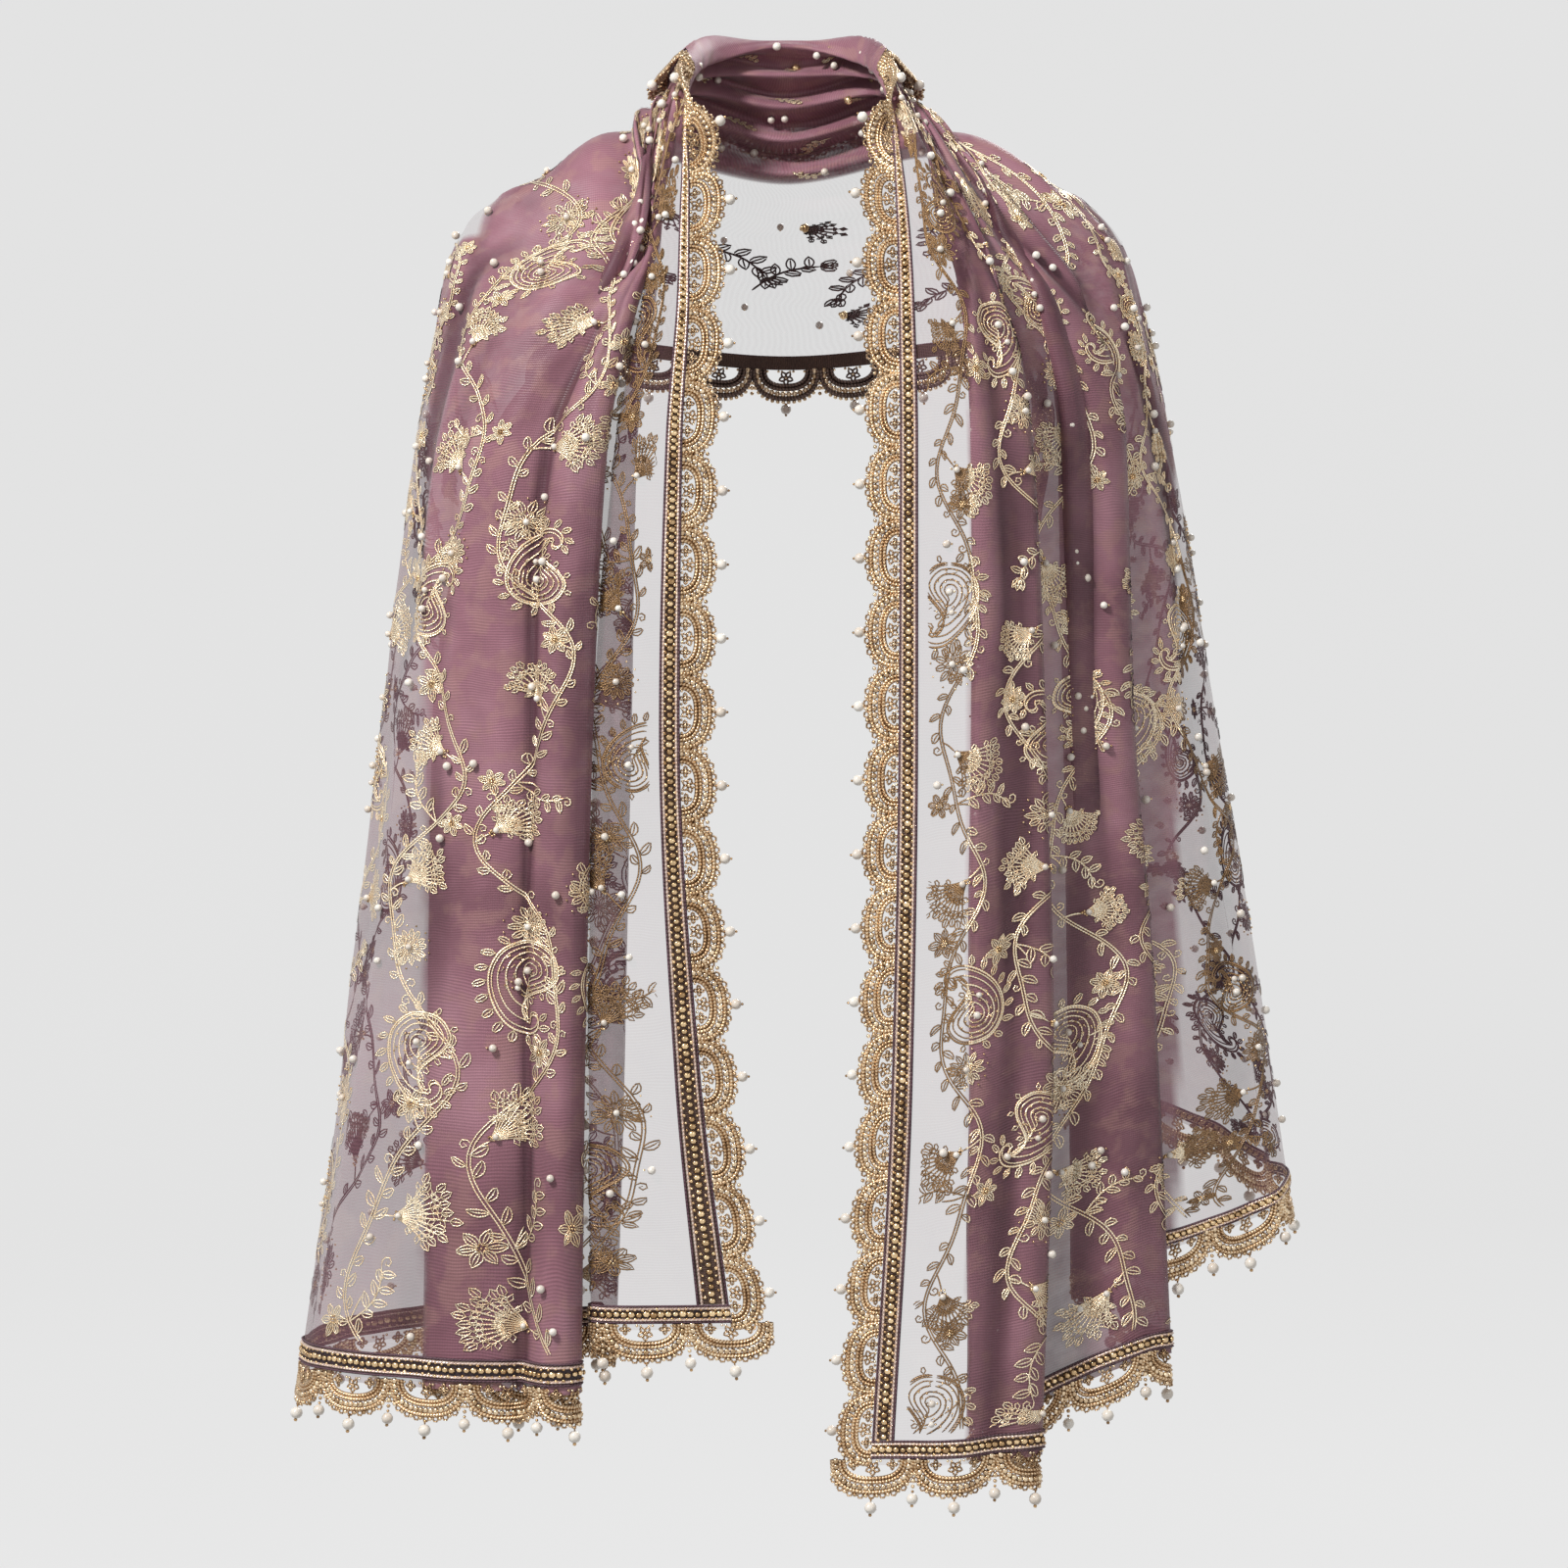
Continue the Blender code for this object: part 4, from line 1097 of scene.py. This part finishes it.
# Sprigs at the nape: (run, across, turn, what it is, size)
SPRIGS = (
    (-50, 150, 0.4, "branch", 46), (10, 190, 2.6, "spray", 22), (56, 160, 2.8, "branch", 44),
    (-70, 270, 0.2, "spray", 24), (-14, 300, 0.4, "branch", 48), (48, 330, 0.7, "spray", 22),
    (-44, 400, 0.3, "branch", 40), (30, 440, 2.5, "branch", 44), (66, 480, 2.2, "spray", 24),
    (-60, 500, 0.6, "branch", 38), (4, 520, 0.3, "branch", 36), (86, 250, 2.4, "branch", 40),
    (-34, 690, 0.6, "branch", 62), (-12, 740, -0.5, "branch", 58), (6, 650, 0.5, "spray", 30),
    (40, 720, 2.4, "branch", 56), (18, 780, 0.3, "spray", 26), (-46, 640, 1.2, "spray", 28),
    (62, 660, 1.9, "branch", 50), (-72, 760, -0.3, "branch", 60), (74, 770, 2.9, "branch", 56),
    (-104, 690, 0.4, "branch", 60), (112, 700, 2.6, "branch", 60), (-150, 740, 0.2, "spray", 34),
    (154, 650, 2.7, "spray", 34), (-182, 660, 0.5, "branch", 60), (186, 760, 2.8, "branch", 60),
)


def has_vines(x, y):
    return abs(x) > SPRIG_RUN or y < NAPE_WINDOW + 14 and not (abs(x) < COLLAR_RUN and y > COLLAR_TOP)


def nape_sprigs(motifs):
    """Open sprigs at the lower nape, in place of the vines, narrowed to allow for the stretch."""
    strokes, motifs.strokes = motifs.strokes, []
    for points, half, closed in strokes:
        marks = [has_vines(x, y) for x, y in points]
        if all(marks):
            motifs.stroke(points, half, closed)
        elif not closed:
            for i, j in stretches(marks):
                motifs.stroke(points[i:j], half)
    motifs.pearls = [place for place in motifs.pearls if has_vines(*place[:2])]
    motifs.seeds = [place for place in motifs.seeds if has_vines(*place[:2])]
    wide = Motif()
    for x, y, turn, kind, size in SPRIGS:
        made = branch(size, 1 if x > 0 else -1) if kind == "branch" else spray(size, 7)
        wide.merge(made, (x * NAPE_STRETCH, y), turn)
    for points, half, closed in wide.strokes:
        motifs.stroke(points / (NAPE_STRETCH, 1), half * 1.15, closed)
    motifs.seeds += [(x / NAPE_STRETCH, y, r * 1.6) for x, y, r in wide.pearls + wide.seeds[::2]]


def embroidery(materials):
    motifs = Motif()
    for across, swing in VINES:
        stem = vine(RIGHT_HEM - LEFT_HEM - 30, rng.uniform(190, 260), swing)
        motifs.merge(stem, (LEFT_HEM + 15, across), 0.0)
    nape_sprigs(motifs)
    pieces = []
    for name, reach in REACHES:
        heap = Heap()
        lay_stitches(heap, motifs, reach)
        seeds = kept(motifs.seeds, reach)
        balls(heap, surface, seeds, SEED, 2, 0.8 * worked_side(seeds))
        pieces.append(heap.build(name, materials))
    return motifs, pieces


def scattered_pearls(motifs, materials):
    places = list(motifs.pearls)
    low, high = LEFT_HEM + 30, RIGHT_HEM - 30
    for run in np.arange(low, high, 60):
        for k in range(9):
            stray = (run + rng.uniform(-28, 28), 52 + k * 94 + rng.uniform(-44, 44), rng.uniform(2.9, 3.5))
            places.append(stray)
    places = np.array(kept(places, ((low, high), (32, 828))))
    heap = Heap()
    balls(heap, surface, places, PEARL, 0, places[:, 2] * 0.9 * worked_side(places), seed=11)
    caps = places + np.stack([0 * places[:, 0], places[:, 2] * 1.1, 1 - places[:, 2]], axis=1)
    balls(heap, surface, caps, SEED, 1, 0.9 * worked_side(caps), seed=12)
    return heap.build("pearls", materials)


# ---- lace ----

DEPTHS = np.array([-2.0, 0.0, 4.0, 8.0, 12.0, 16.0, 20.0, 24.0, 28.0, 32.0, 40.0, 60.0])
HEM_OVERLAP = 5.0  # the hem's lace starts this far up the cloth
HEM_STAND = 1.2  # and stands this far off it there
LINE_STEP = 6
# The lace's and the ribbon's material slots
CORD_SLOT, FINE_SLOT, BEAD_SLOT, PEARL_SLOT, CAP_SLOT, SHADED_SLOT = range(6)
CLOTH_SLOT, PALE_SLOT, GOLD_SLOT, PLUM_SLOT = range(4)


def marked(run0, run1):
    return np.linspace(run0, run1, max(8, int(abs(run1 - run0) / LINE_STEP)))


def on_cloth(runs, across):
    return surface.at(*np.broadcast_arrays(runs, across))


def strip_patch(edge, points, normals):
    """A patch along an edge: a is the distance along it, b the distance out. Also the edge's length."""
    marks = travelled(edge)
    return Patch(marks, DEPTHS, points, normals), marks[-1]


def long_strip(run0, run1, lower):
    """The strip outside a long edge. Over the collar the upper one follows the cloth's own curl."""
    runs = marked(run0, run1)
    across, inward = (CLOTH_WIDTH, -4.0) if lower else (0.0, 4.0)
    edge, facing = on_cloth(runs, across)
    outward = unit(edge - on_cloth(runs, across + inward)[0])
    points = edge[:, None] + outward[:, None] * DEPTHS[None, :, None]
    normals = np.repeat(facing[:, None], len(DEPTHS), axis=1)
    for k, run in enumerate([] if lower else runs):
        turned = min(max((TURN_RUN - abs(run)) / (TURN_RUN - CREST_RUN), 0.0), 1.0)
        if turned:
            rows = {step: cloth.row(run + step, np.concatenate([[0.0], -DEPTHS])) for step in (-2, 0, 2)}
            curled = edge[k] + rows[0][1:] - rows[0][0]
            over = -np.gradient(rows[0][1:], DEPTHS, axis=0)
            behind = unit(np.cross(rows[2][1:] - rows[-2][1:], over))
            points[k] = points[k] * (1 - turned) + curled * turned
            normals[k] = unit(normals[k] * (1 - turned) + behind * turned)
    return strip_patch(edge, points, normals)


def hem_strip(run):
    """The strip from a little above a short end down, past both corners."""
    across = np.unique(np.concatenate([np.arange(0, CLOTH_WIDTH, 3.0), [CLOTH_WIDTH]]))
    edge, facing = on_cloth(run, across)
    down = unit(edge - on_cloth(run - math.copysign(HEM_OVERLAP, run), across)[0])
    past = np.array([LACE_TIP, LACE_TIP / 2])[:, None]
    edge = np.vstack([
        edge[0] + unit(edge[0] - edge[1]) * past, edge, edge[-1] + unit(edge[-1] - edge[-2]) * past[::-1],
    ])
    down, facing = (np.pad(field, ((2, 2), (0, 0)), "edge") for field in (down, facing))
    depths = DEPTHS - HEM_OVERLAP
    points = edge[:, None] + down[:, None] * depths[None, :, None]
    points += facing[:, None] * (HEM_STAND * eased((2 - depths) / 6))[None, :, None]
    return strip_patch(edge, points, np.repeat(facing[:, None], len(depths), axis=1))


def arch(half_width, height, low, count, power=2.5):
    """Points of a round-shouldered arch about a = 0."""
    t = np.linspace(0, math.pi, count)
    c, s = np.cos(t), np.sin(t)
    a = -half_width * np.sign(c) * np.abs(c) ** (2 / power)
    b = low + (height - low) * np.abs(s) ** (2 / power)
    return np.stack([a, b], axis=1)


def lace_flower(heap, strip, a, b, size, petals, slot):
    for k in range(petals):
        turn = math.tau * k / petals + math.pi / 2
        petal = moved(leaf_points(size, size * 0.36, 0, 5), polar(1, turn) + (a, b), turn)
        cord(heap, strip, petal, 0.95, 0.2, RING3, True, slot)
    return [(a, b, 1.5)]


# The arches of a scallop: how far inside its half width, height and cord radius
ARCHES = ((9.6, 12.8, 1.7), (6.6, 15.8, 1.7), (1.0, 23.4, 2.1))
VALLEY_SEEDS = ((0, 15.5, 2.2), (0, 20.0, 1.8), (-1.9, 11.5, 1.5), (1.9, 11.5, 1.5), (0, 3.0, 1.4))


def lace_on(heap, strip, length, count, tall=0.0, hem=False, plain=False, cords=(CORD_SLOT, FINE_SLOT)):
    """Corded lace: arches with a row of beads, flowers inside, a beaded rim outside and a pearl at each tip.

    tall is added to every height, hem adds hanging pearls, and plain leaves out the finest cords.
    """
    pitch = length / count
    wide = pitch / 2
    main, fine = cords
    beads, seeds, pearls, caps = [], [], [], []
    for number in range(count):
        middle = (number + 0.5) * pitch
        for inset, height, radius in ARCHES:
            line = arch(wide - inset, height + tall, 0.2, 17) + (middle, 0)
            cord(heap, strip, line, radius, 0.0, RING4, False, main)
        row = resampled(arch(wide - 3.7, 19.8 + tall, 1.2, 40), 4.7) + (middle, 0)
        beads += [(a, b, 2.6) for a, b in row]
        rim = resampled(arch(wide - 0.2, 26.2 + tall, 3.0, 60), 4.3) + (middle, 0)
        for k, (a, b) in enumerate(rim[1:-1]):
            if b >= 10 and (plain or k % 2):
                seeds.append((a, b, 1.9))
            elif b >= 10:
                loop = [polar(2.3, math.tau * n / 6) + (a, b) for n in range(6)]
                cord(heap, strip, loop, 1.0, 0.0, RING3, True, fine)
        seeds += lace_flower(heap, strip, middle, 6.6 + tall * 0.4, 4.6, 5, fine)
        for way in (-1, 1):
            if not plain:
                seeds += lace_flower(heap, strip, middle + way * (wide - 17.5), 4.4, 3.2, 4, fine)
            for a, b, r in ((3.2, 1.6, 1.2), (6.0, 1.4, 1.3), (wide - 12, 1.6, 1.3)):
                seeds.append((middle + way * a, b, r))
        valley, tip = middle + wide, 27.4 + tall
        seeds += [(valley + a, b + tall * 0.5, r) for a, b, r in VALLEY_SEEDS]
        if hem:
            pearls += [(middle, tip + 8.0, 4.9), (valley, tip + 1.0, 4.6)]
            caps += [(middle, tip + 0.8, 1.5), (middle, tip + 13.6, 1.6), (middle, tip + 2.6, 0.8)]
            caps += [(valley, tip - 4.8, 1.3), (valley, tip + 6.2, 1.5)]
        else:
            pearls.append((middle, tip + 4.6, 4.3))
            caps += [(middle, tip + 0.8, 1.5), (middle, tip + 9.4, 1.2)]
    balls(heap, strip, beads, BEAD, BEAD_SLOT, 0.2, (1, 1, 0.7), 3)
    balls(heap, strip, seeds, SEED, BEAD_SLOT, 0.4, (1, 1, 0.8), 4)
    balls(heap, strip, pearls, PEARL, PEARL_SLOT, 0.6, seed=5)
    balls(heap, strip, caps, SEED, CAP_SLOT, 0.6, seed=6)


# ---- ribbon ----

RIBBON = 16.5  # the ribbon's width on the long edges, over the hems and under the nape
HEM_RIBBON = 14.5
NAPE_RIBBON = 20.0
RIBBON_LIFT = 1.0
LINING_DROP = 0.8
CORD_STEP = 5.8
BEAD_STEP = 5.6
SEED_ROW = 3.7  # from the middle row of beads to the seed beads


def ribbon_on(heap, length, place, wide=RIBBON, lined=False):
    """The ribbon: cloth, a dark and a pale cord along each side, and square beads between seed beads.

    place(s, d) gives the places on the cloth at s along the ribbon and d from its outer side.
    """
    marks = np.linspace(0, length, max(4, int(length / CORD_STEP)))
    count = len(marks)
    edges = (0.2, wide / 2, wide - 0.2)
    spans = [(*edges[:2], RIBBON_LIFT), (*edges[1:], RIBBON_LIFT)] + [(*edges[::2], -LINING_DROP)] * lined
    i = np.arange(count - 1) * 2
    for low, high, height in spans:
        sides = [surface.at(*place(marks, d)) for d in (low, high)]
        lines = [base + normal * height for base, normal in sides]
        uvs = np.stack([np.repeat(marks, 2), np.tile([low, high], count)], axis=1) * MM
        quads = np.stack([i, i + 2, i + 3, i + 1], axis=1)
        heap.add(np.stack(lines, axis=1).reshape(-1, 3), uvs, [quads], CLOTH_SLOT)
    top = RIBBON_LIFT + 0.8
    for d, radius, slot in ((0.9, 0.9, PLUM_SLOT), (2.9, 1.25, PALE_SLOT),
                            (wide - 2.9, 1.25, PALE_SLOT), (wide - 0.9, 0.9, PLUM_SLOT)):
        cord(heap, surface, np.stack(place(marks, d), axis=1), radius, top, RING4, False, slot)
    number = max(2, int(length / BEAD_STEP))
    state = np.random.default_rng(number)
    at = (np.arange(number) + 0.5) * length / number

    def row(at, d, stray, small, large, shape, squash, seed):
        a, b = place(at, d + state.uniform(-stray, stray, number))
        sizes = state.uniform(small, large, number)
        balls(heap, surface, np.stack([a, b, sizes], axis=1), shape, GOLD_SLOT, top, squash, seed)

    row(at, wide / 2, 0.4, 2.1, 2.9, BEAD, (1, 1.25, 0.62), number)
    for d in (wide / 2 - SEED_ROW, wide / 2 + SEED_ROW):
        row(at + length / number / 2, d, 0.5, 1.2, 1.9, SEED, (1, 1, 0.8), number + 1)


def run_line(run0, run1, lower):
    """The ribbon's line along a long edge."""
    runs = marked(run0, run1)
    marks = travelled(on_cloth(runs, CLOTH_WIDTH - 8 if lower else 8.0)[0])

    def place(s, d):
        return np.interp(s, marks, runs), (CLOTH_WIDTH - d if lower else d) + 0 * s

    return marks[-1], place


def hem_line(run):
    """The ribbon's line above the hem's lace."""
    way = math.copysign(1.0, run)
    across = np.linspace(0, CLOTH_WIDTH, 180)
    marks = travelled(on_cloth(run - way * 12, across)[0])

    def place(s, d):
        return run - way * (HEM_OVERLAP + d) + 0 * s, np.interp(s, marks, across)

    return marks[-1], place


# ---- the pieces ----

# The wrong side of the stitches and of the ribbon: their own duller colour, darkened to near black as painted
# shade, since it is seen in shadow
SHADED_REVERSE = (0.05, 0.026, 0.022)
SHADED_PLUM_REVERSE = (0.03, 0.014, 0.02)
gold_stitch = thread("gold_stitch", (0.24, 0.10, 0.035), (0.93, 0.61, 0.31), (1.0, 0.93, 0.74), 0.6, 2.2,
                     SHADED_REVERSE)
# Painted shade: a dark copy of the gold thread, for the stitches on the most sheer cloth, which are seen
# against the light
shaded_stitch = thread("shaded_stitch", (0.04, 0.018, 0.01), (0.13, 0.062, 0.027), (0.42, 0.24, 0.10), 0.2, 2.2,
                     SHADED_REVERSE)
lace_cord = thread("lace_cord", (0.16, 0.08, 0.03), (0.56, 0.35, 0.18), (1.0, 0.84, 0.60), 0.7, 2.6)
fine_cord = thread("fine_cord", (0.20, 0.11, 0.05), (0.50, 0.32, 0.17), (0.82, 0.62, 0.40), 0.7, 2.0)
shaded_cord = thread("shaded_cord", (0.05, 0.03, 0.025), (0.13, 0.085, 0.07), (0.28, 0.19, 0.15), 0.4, 2.6)
pale_cord = thread("pale_cord", (0.42, 0.27, 0.22), (0.78, 0.58, 0.48), (0.98, 0.84, 0.74), 0.45, 3.0)
plum_cord = thread("plum_cord", (0.035, 0.015, 0.022), (0.09, 0.04, 0.055), (0.18, 0.09, 0.12), 0.0, 3.0,
                   roughness=0.6)
ribbon_cloth = thread("ribbon_cloth", (0.07, 0.035, 0.025), (0.15, 0.085, 0.055), (0.27, 0.16, 0.10), 0.2,
                      0.0017, SHADED_PLUM_REVERSE, 0.6)
gold_bead = bead_material("gold_bead", (0.30, 0.165, 0.065), (0.98, 0.74, 0.44))
lace_bead = bead_material("lace_bead", (0.34, 0.20, 0.09), (0.98, 0.80, 0.56))
cap_bead = bead_material("cap_bead", (0.16, 0.08, 0.03), (0.62, 0.40, 0.2))
pearl = bead_material("pearl", (0.70, 0.60, 0.50), (0.93, 0.88, 0.80), 0.0, 0.2, 0.6)

sheet = cloth_piece()
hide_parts("cloth_left_fall", "cloth_nape", "cloth_right_fall")

motifs, stitch_pieces = embroidery([gold_stitch, shaded_stitch, gold_bead])
stitch_pieces.append(scattered_pearls(motifs, [pearl, gold_bead]))

lace_pieces, ribbon_pieces = [], []
SIDES = (
    ("left", (LEFT_HEM, -CREST_RUN), 18, LEFT_HEM),
    ("collar", (-CREST_RUN, CREST_RUN), NAPE_SCALLOPS, None),
    ("right", (CREST_RUN, RIGHT_HEM), 20, RIGHT_HEM),
)
LACE_MATERIALS = [lace_cord, fine_cord, lace_bead, pearl, cap_bead, shaded_cord]
# In the collar's lower lace the sides of a cord that face down are in shade
SHADED_CORDS = ((CORD_SLOT, SHADED_SLOT, SHADED_SLOT, CORD_SLOT), (FINE_SLOT, SHADED_SLOT, SHADED_SLOT))
for side, (run0, run1), scallops, hem in SIDES:
    heap = Heap()
    lace_on(heap, *long_strip(run0, run1, False), scallops)
    strip, length = long_strip(run0, run1, True)
    under = (CORD_SLOT, FINE_SLOT) if hem else SHADED_CORDS
    lace_on(heap, strip, length, round(length / SCALLOP_PITCH), plain=True, cords=under)
    if hem:
        lace_on(heap, *hem_strip(hem), HEM_SCALLOPS, tall=2.5, hem=True)
    lace_pieces.append(heap.build(f"lace_{side}_cords", LACE_MATERIALS))
    heap = Heap()
    start = run0 + (HEM_OVERLAP + HEM_RIBBON if run0 == LEFT_HEM else 0)
    end = run1 - (HEM_OVERLAP + HEM_RIBBON if run1 == RIGHT_HEM else 0)
    ribbon_on(heap, *run_line(start, end, False))
    ribbon_on(heap, *run_line(start, end, True), RIBBON if hem else NAPE_RIBBON, not hem)
    if hem:
        ribbon_on(heap, *hem_line(hem), HEM_RIBBON)
    ribbon_pieces.append(heap.build(f"ribbon_{side}", [ribbon_cloth, pale_cord, gold_bead, plum_cord]))

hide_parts("lace_inner_left", "lace_lower_left", "lace_hem_left")
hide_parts("lace_nape", "lace_back")
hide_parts("lace_inner_right", "lace_lower_right", "lace_hem_right")
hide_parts("band_inner_left", "band_lower_left", "band_hem_left")
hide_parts("band_nape", "band_back")
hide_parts("band_inner_right", "band_lower_right", "band_hem_right")
trimmings = stitch_pieces + lace_pieces + ribbon_pieces
for piece in [sheet] + trimmings:
    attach(piece, "root")


# ---- floor, light and camera ----

BACKDROP = 0.72  # the backdrop's own light

BACKDROP_RADIUS, BACKDROP_BEND, FLOOR_Z, WALL_TOP = 4.6, 1.6, -1.42, 4.0
BACKDROP_STEPS = 96


def stage_material():
    paper = Material("studio_backdrop")
    cloud = paper.noise(paper.coordinates("Object"), 0.6, 2.0)
    paper.set(Emission_Color=paper.ramp(cloud, (0.2, 0.98), (0.8, 1.0)), Emission_Strength=BACKDROP,
              Base_Color=(0.1, 0.1, 0.1, 1), Roughness=1.0, Specular_IOR_Level=0.0)
    return paper.made


def build_stage():
    """A floor that curves up into a wall all round."""
    turns = np.linspace(0, math.pi / 2, 10)
    r = np.array([0, *(BACKDROP_RADIUS + BACKDROP_BEND * np.sin(turns)), BACKDROP_RADIUS + BACKDROP_BEND])
    z = np.array([FLOOR_Z, *(FLOOR_Z + BACKDROP_BEND * (1 - np.cos(turns))), WALL_TOP])
    around = math.tau * np.arange(BACKDROP_STEPS) / BACKDROP_STEPS
    r, z = r[:, None], z[:, None]
    points = np.stack([r * np.cos(around), r * np.sin(around), z + 0 * around], axis=-1)
    index = np.arange(points[..., 0].size).reshape(points.shape[:2])
    after = np.roll(index, -1, axis=1)
    faces = np.stack([index[:-1], after[:-1], after[1:], index[1:]], axis=-1).reshape(-1, 4)
    mesh = bpy.data.meshes.new("studio_stage")
    mesh.from_pydata(points.reshape(-1, 3).tolist(), [], faces.tolist())
    mesh.update()
    mesh.shade_smooth()
    mesh.materials.append(stage_material())
    obj = bpy.data.objects.new("studio_stage", mesh)
    obj.visible_diffuse = False
    obj.visible_shadow = False
    bpy.context.scene.collection.objects.link(obj)


LIGHT_TARGET = Vector((0, 0, -0.4))


def area_light(name, place, size, power):
    light = bpy.data.lights.new(name, "AREA")
    light.shape = "DISK"
    light.size = size
    light.energy = power
    obj = bpy.data.objects.new(name, light)
    obj.location = place
    obj.rotation_euler = (LIGHT_TARGET - Vector(place)).to_track_quat("-Z", "Y").to_euler()
    bpy.context.scene.collection.objects.link(obj)


build_stage()
world = bpy.data.worlds.new("studio")
bpy.context.scene.world = world
world.use_nodes = True
world.node_tree.nodes["Background"].inputs["Color"].default_value = (1.0, 1.0, 1.0, 1)
world.node_tree.nodes["Background"].inputs["Strength"].default_value = 0.38
area_light("key", (-2.0, -2.2, 2.4), 0.8, 165)
area_light("fill", (2.4, -3.2, 0.3), 1.6, 12)
area_light("back", (1.2, 2.6, 1.8), 1.2, 40)

PHOTO_PX = 1600
FOCAL_PX = 5200
SENSOR_MM = 36
camera_data = bpy.data.cameras.new("camera")
camera = bpy.data.objects.new("camera", camera_data)
bpy.context.scene.collection.objects.link(camera)
camera_data.sensor_width = SENSOR_MM
camera_data.lens = FOCAL_PX * SENSOR_MM / PHOTO_PX
camera_data.shift_x = -2 / PHOTO_PX
camera.location = (0, -4.0, -0.24615)
camera.rotation_euler = (math.pi / 2 - math.atan(280 / FOCAL_PX), 0, 0)
bpy.context.scene.camera = camera
bpy.context.scene.view_settings.view_transform = "Standard"
